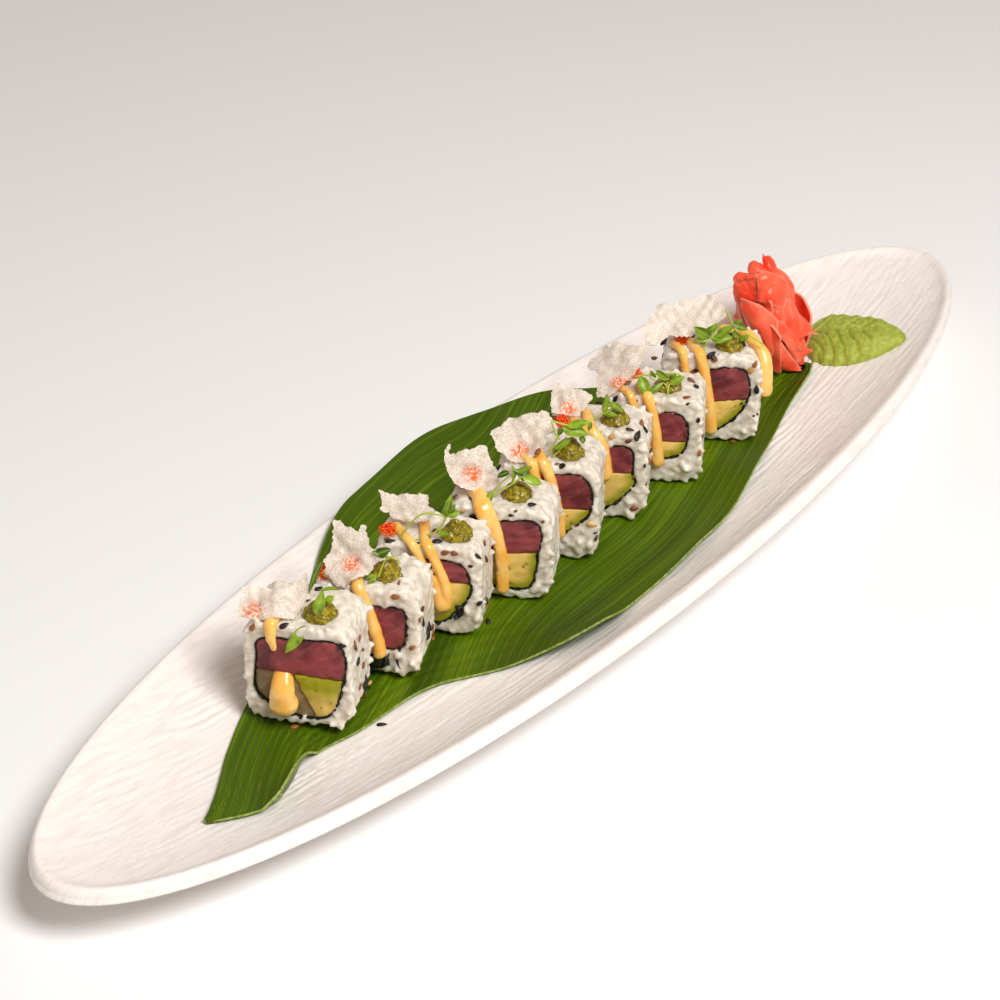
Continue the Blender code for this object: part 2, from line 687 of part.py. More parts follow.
def make_crisp(number, crisp, roll, supports, empty, material):
    """A thin blistered crisp, leaning back on the top of its roll."""
    lean = Matrix.Rotation(math.radians(crisp.lean), 3, "X")
    centre = Vector((crisp.across, crisp.along, roll.height + crisp.up))
    rings = []
    for share in (0.5, 1.0):
        ring = []
        for k in range(CRISP_SIDES):
            angle = 2 * math.pi * k / CRISP_SIDES
            lobe = 1 + 0.16 * share * math.cos(crisp.lobes * angle + number)
            x = crisp.half_width * share * lobe * math.cos(angle)
            y = crisp.half_depth * share * lobe * math.sin(angle)
            ripple = noise.noise(Vector((x, y, number * 9.0)) * 0.22)
            wave = 1.3 * share * math.sin(2 * angle + number) + ripple
            ring.append(centre + lean @ Vector((x, y, wave)))
        rings.append(ring)
    up = lean @ Vector((0, 0, CRISP_THICKNESS))
    lower = [centre.copy()] + [point for ring in rings for point in ring]
    size = len(lower)
    points = lower + [point + up for point in lower]
    faces = []
    for k in range(CRISP_SIDES):
        after = (k + 1) % CRISP_SIDES
        a, b, c, d = 1 + k, 1 + after, 1 + CRISP_SIDES + k, 1 + CRISP_SIDES + after
        faces += [(0, b, a), (a, b, d), (a, d, c)]
        faces += [(size, size + a, size + b), (size + a, size + d, size + b), (size + a, size + c, size + d)]
        faces += [(c, d, d + size), (c, d + size, c + size)]
    return mesh_object(f"crisp_{number}", drop_onto(points, faces, supports), faces, material, empty)


def make_relish(number, mound, roll, supports, empty, material):
    """A rough mound of chopped green relish with a flat underside."""
    across, along, radius, height = mound
    rings = []
    for share, rise in ((0.78, 0.0), (1.0, 0.22), (0.92, 0.55), (0.62, 0.86), (0.25, 1.0)):
        ring = []
        for k in range(RELISH_SIDES):
            angle = 2 * math.pi * k / RELISH_SIDES
            x, y = math.cos(angle), math.sin(angle)
            swell = 1 + 0.22 * noise.noise(Vector((x, y, rise * 2 + number * 5.0)) * 1.6)
            place = (across + radius * share * swell * x, along + radius * share * swell * y)
            ring.append(Vector((*place, roll.height + height * rise)))
        rings.append(ring)
    points, faces = loft(rings)
    return mesh_object(f"relish_{number}", drop_onto(points, faces, supports), faces, material, empty)


def make_sprig(number, sprig, roll, supports, empty, material):
    """A sprig of cress on top of the roll: a thin ribbon, narrow at its stem, that swells into leaves."""
    turn = Matrix.Rotation(math.radians(sprig.turn - 90), 3, "Z")
    root = Vector((sprig.across, sprig.along, roll.height))
    shares = (0.0, 0.22, 0.42, 0.52, 0.66, 0.74, 0.88, 1.0)
    halves = (STEM_HALF, STEM_HALF, STEM_HALF, 3.0, 0.9, 0.8, LEAF_PAIR_HALF, 0.5)
    if sprig.pairs == 1:
        halves = (0.8, 1.8, 2.4, 2.6, 2.6, 2.4, 1.8, 0.6)
    grid = []
    for share, half in zip(shares, halves):
        bend = 1.2 * math.sin(share * 4 + number)
        middle = root + turn @ Vector((bend, sprig.length * share, 2.6 * math.sin(share * 2.2)))
        side = turn @ Vector((half, -0.5 * half, 0.3 * half))
        other = turn @ Vector((-half, -0.5 * half, 0.3 * half))
        grid.append([middle + other, middle, middle + side])
    points, faces = sheet(grid, 0.6)
    return mesh_object(f"sprig_{number}", drop_onto(points, faces, supports), faces, material, empty)


def make_ginger(tree, material):
    """The rose of pickled ginger: a leaning core with thin folded slices wrapped round it."""
    reach = GINGER_RADIUS * 0.75
    base = highest_under(tree, Vector(GINGER), 0.0, reach, reach) + CLEARANCE
    lean = Vector((-0.02, 0.2, 1.0))
    rings = []
    for share, width in ((0.0, 0.72), (0.22, 0.98), (0.5, 0.9), (0.78, 0.66), (1.0, 0.3)):
        ring = []
        for k in range(12):
            angle = 2 * math.pi * k / 12
            fold = 1 + 0.10 * math.sin(3 * angle + share * 5) + 0.07 * math.sin(5 * angle - share * 8)
            reach = GINGER_RADIUS * width * fold
            side = Vector((math.cos(angle) * reach, math.sin(angle) * reach, 0))
            ring.append(Vector((*GINGER, base)) + lean * (GINGER_HEIGHT * 0.88 * share) + side)
        rings.append(ring)
    core = mesh_object("ginger", *loft(rings), material)
    petals = []
    for i in range(GINGER_PETALS):
        around = i * 2.4
        low = 0.06 + 0.6 * i / GINGER_PETALS
        grid = []
        for row in range(4):
            rise = low + 0.36 * row / 3
            middle = Vector((*GINGER, base)) + lean * (GINGER_HEIGHT * rise)
            reach = GINGER_RADIUS * (0.78 - 0.42 * rise + 0.11 * row)
            angles = [around + (k - 2) * 0.42 for k in range(5)]
            sides = [Vector((math.cos(a), math.sin(a), 0.06 * (k % 2))) for k, a in enumerate(angles)]
            grid.append([middle + side * reach for side in sides])
        petals.append(mesh_object("petal", *sheet(grid, 1.1)))
    fuse(core, petals, "MANIFOLD")
    return core


def make_paste_leaf(material):
    """The carved leaf of paste: domed, with a midrib and slanting grooves, its base on the platter."""
    turn = Matrix.Rotation(math.radians(PASTE_TURN - 90), 3, "Z")
    columns, rows = 7, 11
    upper, lower = [], []
    for i in range(rows):
        share = 0.03 + 0.94 * i / (rows - 1)
        half = PASTE_WIDTH / 2 * math.sin(math.pi * share**0.85) ** 0.8
        for k in range(columns):
            side = -1 + 2 * k / (columns - 1)
            flat = turn @ Vector((half * side, PASTE_LENGTH * (share - 0.5), 0))
            place = flat + Vector((*PASTE_LEAF, 0))
            ground = platter_height(place.x, place.y) + SHEET_GAP
            dome = (1 - side**2) ** 0.5 * math.sin(math.pi * share) ** 0.5
            groove = 0.5 * math.cos(i * math.pi) * (1 - abs(side)) if k != columns // 2 else -0.7
            lower.append(Vector((place.x, place.y, ground)))
            rise = PASTE_EDGE + (PASTE_HEIGHT - PASTE_EDGE + groove) * dome
            upper.append(Vector((place.x, place.y, ground + rise)))
    size = rows * columns
    points, faces = sheet([lower[i * columns : (i + 1) * columns] for i in range(rows)], 1.0)
    return mesh_object("wasabi", points[:size] + upper, faces, material)


def build():
    """Clears the scene and builds every piece."""
    for obj in list(bpy.data.objects):
        bpy.data.objects.remove(obj)
    finishes = {
        "plate": finish("warm_white_stoneware", (0.83, 0.77, 0.70), 0.55),
        "leaf": finish("green_leaf", (0.045, 0.14, 0.008), 0.35),
        "rice": finish("cooked_rice", (0.78, 0.77, 0.72), 0.38),
        "nori": finish("seaweed", (0.012, 0.014, 0.010), 0.5),
        "tuna": finish("raw_tuna", (0.21, 0.055, 0.065), 0.3),
        "avocado": finish("avocado", (0.62, 0.58, 0.17), 0.4),
        "white_fish": finish("pale_fish", (0.30, 0.24, 0.17), 0.3),
        "crisp": finish("fried_crisp", (0.72, 0.62, 0.52), 0.45),
        "relish": finish("green_relish", (0.20, 0.17, 0.02), 0.35),
        "sprig": finish("cress", (0.11, 0.26, 0.03), 0.45),
        "ginger": finish("pickled_ginger", (0.85, 0.13, 0.07), 0.35),
        "wasabi": finish("horseradish_paste", (0.28, 0.42, 0.08), 0.6),
    }
    make_platter(finishes["plate"])
    leaf = make_leaf(finishes["leaf"])
    bpy.context.view_layer.update()
    tree = BVHTree.FromObject(leaf, bpy.context.evaluated_depsgraph_get())
    for number, roll in enumerate(ROLLS, start=1):
        empty = roll_empty(number, roll, tree)
        rice = make_rice(number, roll, empty, finishes["rice"])
        make_nori(number, roll, empty, finishes["nori"])
        make_fillings(number, roll, empty, finishes)
        relish = make_relish(number, RELISH[number - 1], roll, [rice], empty, finishes["relish"])
        crisp = make_crisp(number, CRISPS[number - 1], roll, [rice, relish], empty, finishes["crisp"])
        make_sprig(number, SPRIGS[number - 1], roll, [rice, relish, crisp], empty, finishes["sprig"])
    make_ginger(tree, finishes["ginger"])
    make_paste_leaf(finishes["wasabi"])


build()
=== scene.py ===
"""Eight cut pieces of inside-out sushi roll on a leaf and a long oval platter, dressed for a studio picture.

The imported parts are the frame. Sizes here are in millimetres and each finished mesh is scaled to metres
when it is made. A roll's own frame has X across its cut face, Y along the roll, away from that face, and Z up
from its base.
"""

import logging
import math
from dataclasses import dataclass, field
from enum import Enum
from typing import Any

import bmesh
import bpy
import numpy as np
from mathutils import Matrix, Vector
from mathutils.bvhtree import BVHTree
from mathutils.geometry import delaunay_2d_cdt


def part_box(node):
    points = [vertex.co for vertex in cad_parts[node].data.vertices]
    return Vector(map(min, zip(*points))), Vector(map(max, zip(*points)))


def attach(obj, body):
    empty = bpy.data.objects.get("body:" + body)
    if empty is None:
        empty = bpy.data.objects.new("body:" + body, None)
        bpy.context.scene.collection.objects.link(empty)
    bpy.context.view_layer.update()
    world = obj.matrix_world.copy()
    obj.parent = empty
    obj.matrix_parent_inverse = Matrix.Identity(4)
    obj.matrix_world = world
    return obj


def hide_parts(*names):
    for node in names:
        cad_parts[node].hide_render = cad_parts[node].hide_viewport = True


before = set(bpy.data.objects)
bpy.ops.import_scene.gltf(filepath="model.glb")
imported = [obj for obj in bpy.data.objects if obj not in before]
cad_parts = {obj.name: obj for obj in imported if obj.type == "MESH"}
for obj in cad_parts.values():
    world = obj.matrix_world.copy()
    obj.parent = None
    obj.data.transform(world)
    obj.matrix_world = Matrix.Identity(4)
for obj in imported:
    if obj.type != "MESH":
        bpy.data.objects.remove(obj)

MM = 0.001
log = logging.getLogger("platter")


def linear(code: str) -> tuple[float, float, float, float]:
    """Turns an sRGB hex colour into linear values.

    Args:
        code: The colour, such as "#F2ECE6".

    Returns:
        Red, green, blue and a full alpha, all linear.
    """
    parts = [int(code[i : i + 2], 16) / 255 for i in (1, 3, 5)]
    values = [part / 12.92 if part <= 0.04045 else ((part + 0.055) / 1.055) ** 2.4 for part in parts]
    return (*values, 1.0)


def scale_for(size: float) -> float:
    """The texture scale, in object metres, whose features are this many millimetres across."""
    return 1.0 / (size * MM)


# ------------------------------------------------------------------ meshes


@dataclass
class Body:
    """A mesh in the making.

    Attributes:
        points: Places in millimetres, one row each.
        faces: Triangles, as rows of three point numbers.
        parts: The material number of each triangle.
        marks: Values at each point that a finish reads by name.
        chart: Flat coordinates at each point, or None.
    """

    points: np.ndarray
    faces: np.ndarray
    parts: np.ndarray | None = None
    marks: dict[str, np.ndarray] = field(default_factory=dict)
    chart: np.ndarray | None = None

    def tree(self) -> BVHTree:
        """A search tree over the triangles, in millimetres."""
        return BVHTree.FromPolygons(self.points.tolist(), self.faces.tolist())


def join(bodies: list[Body]) -> Body:
    """Puts several bodies into one.

    Args:
        bodies: The bodies; marks that the first one has are kept.

    Returns:
        One body with all their points and triangles.
    """
    starts = np.cumsum([0] + [len(body.points) for body in bodies[:-1]])
    points = np.concatenate([body.points for body in bodies])
    faces = np.concatenate([body.faces + start for body, start in zip(bodies, starts)])
    parts = None
    if bodies[0].parts is not None:
        parts = np.concatenate([body.parts for body in bodies])
    marks = {key: np.concatenate([body.marks[key] for body in bodies]) for key in bodies[0].marks}
    return Body(points, faces, parts, marks)


def make_piece(
    name: str,
    body: Body,
    materials: list[bpy.types.Material],
    nodes: tuple[str, ...] = (),
) -> bpy.types.Object:
    """Makes a visible piece from a body and ties it to the frame.

    Args:
        name: The piece's name.
        body: Its mesh in millimetres, in the row's frame.
        materials: Its materials, in the order of the body's parts.
        nodes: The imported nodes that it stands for.

    Returns:
        The piece.
    """
    mesh = bpy.data.meshes.new(name)
    mesh.vertices.add(len(body.points))
    mesh.vertices.foreach_set("co", (body.points * MM).astype(np.float32).ravel())
    mesh.loops.add(body.faces.size)
    mesh.loops.foreach_set("vertex_index", body.faces.astype(np.int32).ravel())
    mesh.polygons.add(len(body.faces))
    mesh.polygons.foreach_set("loop_start", np.arange(0, body.faces.size, 3, dtype=np.int32))
    if body.parts is not None:
        mesh.polygons.foreach_set("material_index", body.parts.astype(np.int32))
    mesh.update(calc_edges=True)
    mesh.validate()
    mesh.shade_smooth()
    mesh.set_sharp_from_angle(angle=math.radians(58))
    for key, values in body.marks.items():
        mesh.attributes.new(key, "FLOAT", "POINT").data.foreach_set("value", values.astype(np.float32))
    if body.chart is not None:
        layer = mesh.uv_layers.new(name="chart")
        layer.data.foreach_set("uv", body.chart[body.faces.ravel()].astype(np.float32).ravel())
    for material in materials:
        mesh.materials.append(material)
    piece = bpy.data.objects.new(name, mesh)
    bpy.context.scene.collection.objects.link(piece)
    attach(piece, "root")
    if nodes:
        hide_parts(*nodes)
    log.info("%s: %d triangles", name, len(body.faces))
    return piece


def grid_faces(rows: int, columns: int, closed: bool = False) -> np.ndarray:
    """Triangles over a grid of points.

    Args:
        rows: Rows of points.
        columns: Points in a row.
        closed: Whether each row is a ring.

    Returns:
        The triangles.
    """
    across = columns if closed else columns - 1
    r, c = np.meshgrid(np.arange(rows - 1), np.arange(across), indexing="ij")
    a = r * columns + c
    b = r * columns + (c + 1) % columns
    d, e = a + columns, b + columns
    return np.concatenate(
        [np.stack([a, b, e], -1).reshape(-1, 3), np.stack([a, e, d], -1).reshape(-1, 3)]
    )


def outward(body: Body) -> Body:
    """The closed body with its triangles facing out."""
    corners = body.points[body.faces]
    volume = np.einsum("ij,ij->i", corners[:, 0], np.cross(corners[:, 1], corners[:, 2])).sum()
    if volume < 0:
        body.faces = body.faces[:, ::-1]
    return body


def skin(rings: np.ndarray, capped: bool = True) -> Body:
    """A closed skin over rings of points.

    Args:
        rings: Points with the shape (rings, points in a ring, 3).
        capped: Whether each end gets a fan to its middle, or else the last ring joins the first.

    Returns:
        The body.
    """
    rows, count = rings.shape[:2]
    if not capped:
        rings = np.concatenate([rings, rings[:1]])
        faces = grid_faces(rows + 1, count, True)
        return outward(Body(rings[:-1].reshape(-1, 3), faces % (rows * count)))
    points = rings.reshape(-1, 3)
    faces = [grid_faces(rows, count, True)]
    ring = np.arange(count)
    after = (ring + 1) % count
    middles = np.stack([rings[0].mean(0), rings[-1].mean(0)])
    first, last = len(points), len(points) + 1
    faces.append(np.stack([after, ring, np.full(count, first)], -1))
    top = (rows - 1) * count
    faces.append(np.stack([ring + top, after + top, np.full(count, last)], -1))
    return outward(Body(np.concatenate([points, middles]), np.concatenate(faces)))


def grid_normals(grid: np.ndarray) -> np.ndarray:
    """The unit normal at each point of a grid of points."""
    along = np.gradient(grid, axis=0)
    across = np.gradient(grid, axis=1)
    normals = np.cross(along, across)
    return normals / np.maximum(np.linalg.norm(normals, axis=-1, keepdims=True), 1e-9)


def slab(first: np.ndarray, second: np.ndarray) -> Body:
    """A closed body between two grids of points with the same rows and columns.

    Args:
        first: Points of one side with the shape (rows, columns, 3).
        second: Points of the other side.

    Returns:
        The body, with "edge" marked from 0 inside to 1 at the rim and "face" 1 on its first side.
    """
    rows, columns = first.shape[:2]
    points = np.concatenate([first.reshape(-1, 3), second.reshape(-1, 3)])
    size = rows * columns
    flat = grid_faces(rows, columns)
    index = np.arange(size).reshape(rows, columns)
    rim = np.concatenate([index[0, :-1], index[:-1, -1], index[-1, :0:-1], index[:0:-1, 0]])
    after = np.roll(rim, -1)
    faces = [
        flat,
        flat[:, ::-1] + size,
        np.stack([after, rim, rim + size], -1),
        np.stack([after, rim + size, after + size], -1),
    ]
    edge = np.zeros(size)
    edge[rim] = 1.0
    face = np.concatenate([np.ones(size), np.zeros(size)])
    return outward(Body(points, np.concatenate(faces), marks={"edge": np.tile(edge, 2), "face": face}))


def sheet(grid: np.ndarray, thickness: np.ndarray | float) -> Body:
    """A thin closed body with a grid of points as its middle and a thickness, even or at each point."""
    half = grid_normals(grid) * np.broadcast_to(np.asarray(thickness, float) / 2, grid.shape[:2])[..., None]
    return slab(grid + half, grid - half)


def catmull(points: list | np.ndarray, steps: int, closed: bool = False) -> np.ndarray:
    """A smooth curve through points.

    Args:
        points: The points, in two or more dimensions.
        steps: Steps between two of them.
        closed: Whether the curve is a loop.

    Returns:
        The curve's points.
    """
    knots = np.asarray(points, float)
    if closed:
        knots = np.concatenate([knots[-1:], knots, knots[:2]])
    else:
        knots = np.concatenate([[2 * knots[0] - knots[1]], knots, [2 * knots[-1] - knots[-2]]])
    t = (np.arange(steps) / steps)[:, None]
    curve = []
    for a, b, c, d in zip(knots, knots[1:], knots[2:], knots[3:]):
        square = (2 * a - 5 * b + 4 * c - d) * t**2
        cube = (3 * b - a - 3 * c + d) * t**3
        curve.append(0.5 * (2 * b + (c - a) * t + square + cube))
    if not closed:
        curve.append(knots[-2:-1])
    return np.concatenate(curve)


def even(loop: np.ndarray, count: int, closed: bool = True) -> np.ndarray:
    """The curve again as this many points at even steps along it."""
    ends = np.concatenate([loop, loop[:1]]) if closed else loop
    lengths = np.concatenate([[0.0], np.cumsum(np.linalg.norm(np.diff(ends, axis=0), axis=1))])
    places = np.linspace(0, lengths[-1], count, endpoint=not closed)
    return np.stack([np.interp(places, lengths, ends[:, k]) for k in range(ends.shape[1])], -1)


def soften(loop: np.ndarray, rounds: int) -> np.ndarray:
    """The closed loop with its corners rounded a little more in each round."""
    for _ in range(rounds):
        loop = 0.25 * np.roll(loop, 1, 0) + 0.5 * loop + 0.25 * np.roll(loop, -1, 0)
    return loop


def inset(loop: np.ndarray, distance: np.ndarray | float) -> np.ndarray:
    """The flat loop drawn in by a distance; a loop that runs anticlockwise shrinks."""
    ahead = np.roll(loop, -1, 0) - np.roll(loop, 1, 0)
    normal = np.stack([-ahead[:, 1], ahead[:, 0]], -1)
    normal /= np.maximum(np.linalg.norm(normal, axis=1, keepdims=True), 1e-9)
    return loop + normal * np.broadcast_to(np.asarray(distance, float), (len(loop),))[:, None]


def clip(loop: np.ndarray, start: tuple, end: tuple) -> np.ndarray:
    """The part of a flat loop that lies left of a line.

    Args:
        loop: The loop's points.
        start: A point of the line.
        end: A later point of the line.

    Returns:
        The points of the part that is kept.
    """
    first = np.asarray(start, float)
    ahead = np.asarray(end, float) - first
    normal = np.array([-ahead[1], ahead[0]]) / np.linalg.norm(ahead)
    sides = (loop - first) @ normal
    kept = []
    for i in range(len(loop)):
        j = (i + 1) % len(loop)
        if sides[i] >= 0:
            kept.append(loop[i])
        if sides[i] * sides[j] < 0:
            kept.append(loop[i] + (loop[j] - loop[i]) * sides[i] / (sides[i] - sides[j]))
    return np.array(kept)


def tube(path: np.ndarray, radii: np.ndarray, sides: int, flatness: float = 1.0) -> Body:
    """A round strand along a path, with a round end at both ends.

    Args:
        path: Its middle line.
        radii: Its radius at each point of the path.
        sides: Points round it.
        flatness: Its height as a share of its width.

    Returns:
        The body.
    """
    ahead = np.gradient(path, axis=0)
    ahead /= np.linalg.norm(ahead, axis=1, keepdims=True)
    side = np.cross(ahead, np.where(np.abs(ahead[:, 2:3]) > 0.8, [[0.0, 1.0, 0.0]], [[0.0, 0.0, 1.0]]))
    for i in range(1, len(side)):
        side[i] = side[i - 1] - ahead[i] * (side[i - 1] @ ahead[i])
    side /= np.linalg.norm(side, axis=1, keepdims=True)
    other = np.cross(side, ahead) * flatness
    angles = np.linspace(0, 2 * math.pi, sides, endpoint=False)
    circle = side[:, None] * np.cos(angles)[None, :, None] + other[:, None] * np.sin(angles)[None, :, None]
    rings = path[:, None] + circle * radii[:, None, None]
    ends = []
    for sign, at in ((-1, 0), (1, -1)):
        for share in (0.5, 0.85, 0.98):
            lift = ahead[at] * sign * radii[at] * share * flatness
            ends.append(path[at] + lift + circle[at] * radii[at] * math.sqrt(1 - share**2))
    rings = np.concatenate([np.array(ends[2::-1]), rings, np.array(ends[3:])])
    return skin(rings)


def ball(detail: int) -> Body:
    """A round ball of radius 1 made of even triangles."""
    work = bmesh.new()
    bmesh.ops.create_icosphere(work, subdivisions=detail, radius=1.0)
    points = np.array([vertex.co for vertex in work.verts])
    faces = np.array([[vertex.index for vertex in face.verts] for face in work.faces])
    work.free()
    return Body(points, faces)


def scatter(shape: Body, places: np.ndarray, turns: np.ndarray, sizes: np.ndarray) -> Body:
    """Copies of a shape, each with its own place, turn and size.

    Args:
        shape: The shape, about the origin.
        places: The copies' places, one row each.
        turns: Their turns, as matrices whose rows are the copy's own three axes.
        sizes: Their sizes along those axes, one row each.

    Returns:
        All the copies as one body, with "pick" marked as a random value from 0 to 1 for each copy.
    """
    count, size = len(places), len(shape.points)
    scaled = shape.points[None] * sizes[:, None]
    points = np.einsum("kpi,kij->kpj", scaled, turns) + places[:, None]
    faces = shape.faces[None] + (np.arange(count) * size)[:, None, None]
    pick = np.repeat(np.random.default_rng(count).random(count), size)
    return Body(points.reshape(-1, 3), faces.reshape(-1, 3), marks={"pick": pick})


def turns_about(normals: np.ndarray, heading: np.ndarray) -> np.ndarray:
    """Turn matrices with the third axis along each normal and the first as near the heading as it goes."""
    normals = normals / np.linalg.norm(normals, axis=1, keepdims=True)
    first = heading - normals * np.sum(heading * normals, axis=1, keepdims=True)
    first /= np.maximum(np.linalg.norm(first, axis=1, keepdims=True), 1e-9)
    return np.stack([first, np.cross(normals, first), normals], axis=1)


def waves(points: np.ndarray, size: float, seed: int) -> np.ndarray:
    """Smooth random unevenness.

    Args:
        points: Places in two or three dimensions, in millimetres.
        size: About how wide one lump is, in millimetres.
        seed: Which random pattern.

    Returns:
        A value at each place, mostly from -1 to 1.
    """
    draw = np.random.default_rng(seed)
    total = np.zeros(points.shape[:-1])
    for _ in range(9):
        direction = draw.normal(size=points.shape[-1])
        direction /= np.linalg.norm(direction)
        pitch = 2 * size * draw.uniform(0.7, 1.6)
        total += np.sin(points @ direction * (2 * math.pi / pitch) + draw.uniform(0, 2 * math.pi))
    return total / 3.0


def voxel_skin(body: Body, voxel: float, smoothing: int) -> Body:
    """Melts overlapping closed shapes into one even skin.

    Args:
        body: The shapes.
        voxel: The size of the skin's squares, in millimetres.
        smoothing: Rounds of smoothing.

    Returns:
        The skin.
    """
    mesh = bpy.data.meshes.new("melt")
    mesh.from_pydata(body.points.tolist(), [], body.faces.tolist())
    helper = bpy.data.objects.new("melt", mesh)
    bpy.context.scene.collection.objects.link(helper)
    melt = helper.modifiers.new("Melt", "REMESH")
    melt.mode = "VOXEL"
    melt.voxel_size = voxel
    if smoothing:
        smooth = helper.modifiers.new("Smooth", "SMOOTH")
        smooth.factor = 0.5
        smooth.iterations = smoothing
    shape = helper.evaluated_get(bpy.context.evaluated_depsgraph_get()).to_mesh()
    shape.calc_loop_triangles()
    points = np.empty(len(shape.vertices) * 3, np.float32)
    shape.vertices.foreach_get("co", points)
    faces = np.empty(len(shape.loop_triangles) * 3, np.int32)
    shape.loop_triangles.foreach_get("vertices", faces)
    bpy.data.objects.remove(helper)
    bpy.data.meshes.remove(mesh)
    return Body(points.reshape(-1, 3).astype(float), faces.reshape(-1, 3).astype(int))


# ---------------------------------------------------------------- finishes


def connect(tree: bpy.types.NodeTree, node: bpy.types.Node, inputs: dict[Any, Any]) -> None:
    """Sets or links a node's inputs.

    Args:
        tree: The material's node tree.
        node: The node.
        inputs: For each input's name or number, another node's output or a value.
    """
    for key, value in inputs.items():
        if isinstance(value, bpy.types.NodeSocket):
            tree.links.new(value, node.inputs[key])
        else:
            node.inputs[key].default_value = value


def add_node(
    tree: bpy.types.NodeTree,
    kind: str,
    settings: dict[str, Any] | None = None,
    inputs: dict[Any, Any] | None = None,
) -> bpy.types.Node:
    """Adds a node with its settings and links.

    Args:
        tree: The material's node tree.
        kind: The node's type.
        settings: Its settings by name; "stops" are a colour ramp's places and hex colours.
        inputs: As for connect.

    Returns:
        The node.
    """
    node = tree.nodes.new(kind)
    for key, value in (settings or {}).items():
        if key != "stops":
            setattr(node, key, value)
            continue
        elements = node.color_ramp.elements
        while len(elements) < len(value):
            elements.new(0.5)
        for element, (place, code) in zip(elements, value):
            element.position = place
            element.color = linear(code)
    connect(tree, node, inputs or {})
    return node


@dataclass(frozen=True)
class Finish:
    """What one surface is made of.

    Attributes:
        name: The real material, as the finished material's name.
    """

    name: str

    def make(self) -> bpy.types.Material:
        """Makes the material.

        Returns:
            The finished material.
        """
        material = bpy.data.materials.new(self.name)
        material.use_nodes = True
        self.dress(material.node_tree, material.node_tree.nodes["Principled BSDF"])
        return material

    def dress(self, tree: bpy.types.NodeTree, shader: bpy.types.Node) -> None:
        """Sets the shader up; each finish has its own way."""
        raise NotImplementedError


@dataclass(frozen=True)
class Stoneware(Finish):
    """Glazed stoneware: thrown, brushed with slip along its length and fired with a satin white glaze.

    The eye gets a warm white with soft brushed ridges, a painted shade slightly darker in their valleys, and fine grit.
    """

    name: str = "satin_glazed_stoneware"
    glaze: str = "#F6EFEA"
    valley: str = "#ECE2DA"
    grit: float = 0.9
    brush: float = 1.5

    def dress(self, tree: bpy.types.NodeTree, shader: bpy.types.Node) -> None:
        """Sets the shader up as satin glaze over brushed clay."""
        place = add_node(tree, "ShaderNodeTexCoord").outputs["Object"]
        stretched = add_node(
            tree,
            "ShaderNodeMapping",
            inputs={"Vector": place, "Scale": (0.15, 1.0, 0.3)},
        ).outputs["Vector"]
        strokes = add_node(
            tree,
            "ShaderNodeTexNoise",
            inputs={"Vector": stretched, "Scale": scale_for(self.brush), "Detail": 3.0, "Roughness": 0.55},
        ).outputs["Fac"]
        # Painted shade: the strokes that raise the ridges also darken their valleys.
        tone = add_node(
            tree,
            "ShaderNodeValToRGB",
            {"stops": ((0.30, self.valley), (0.55, self.glaze))},
            {"Fac": strokes},
        ).outputs["Color"]
        grit = add_node(
            tree,
            "ShaderNodeTexNoise",
            inputs={"Vector": place, "Scale": scale_for(self.grit), "Detail": 2.0},
        ).outputs["Fac"]
        fine = add_node(
            tree, "ShaderNodeBump", inputs={"Strength": 0.35, "Distance": 0.00012, "Height": grit}
        ).outputs["Normal"]
        rough = add_node(
            tree,
            "ShaderNodeBump",
            inputs={"Strength": 0.6, "Distance": 0.0003, "Height": strokes, "Normal": fine},
        ).outputs["Normal"]
        connect(
            tree,
            shader,
            {"Base Color": tone, "Roughness": 0.46, "IOR": 1.5, "Normal": rough},
        )


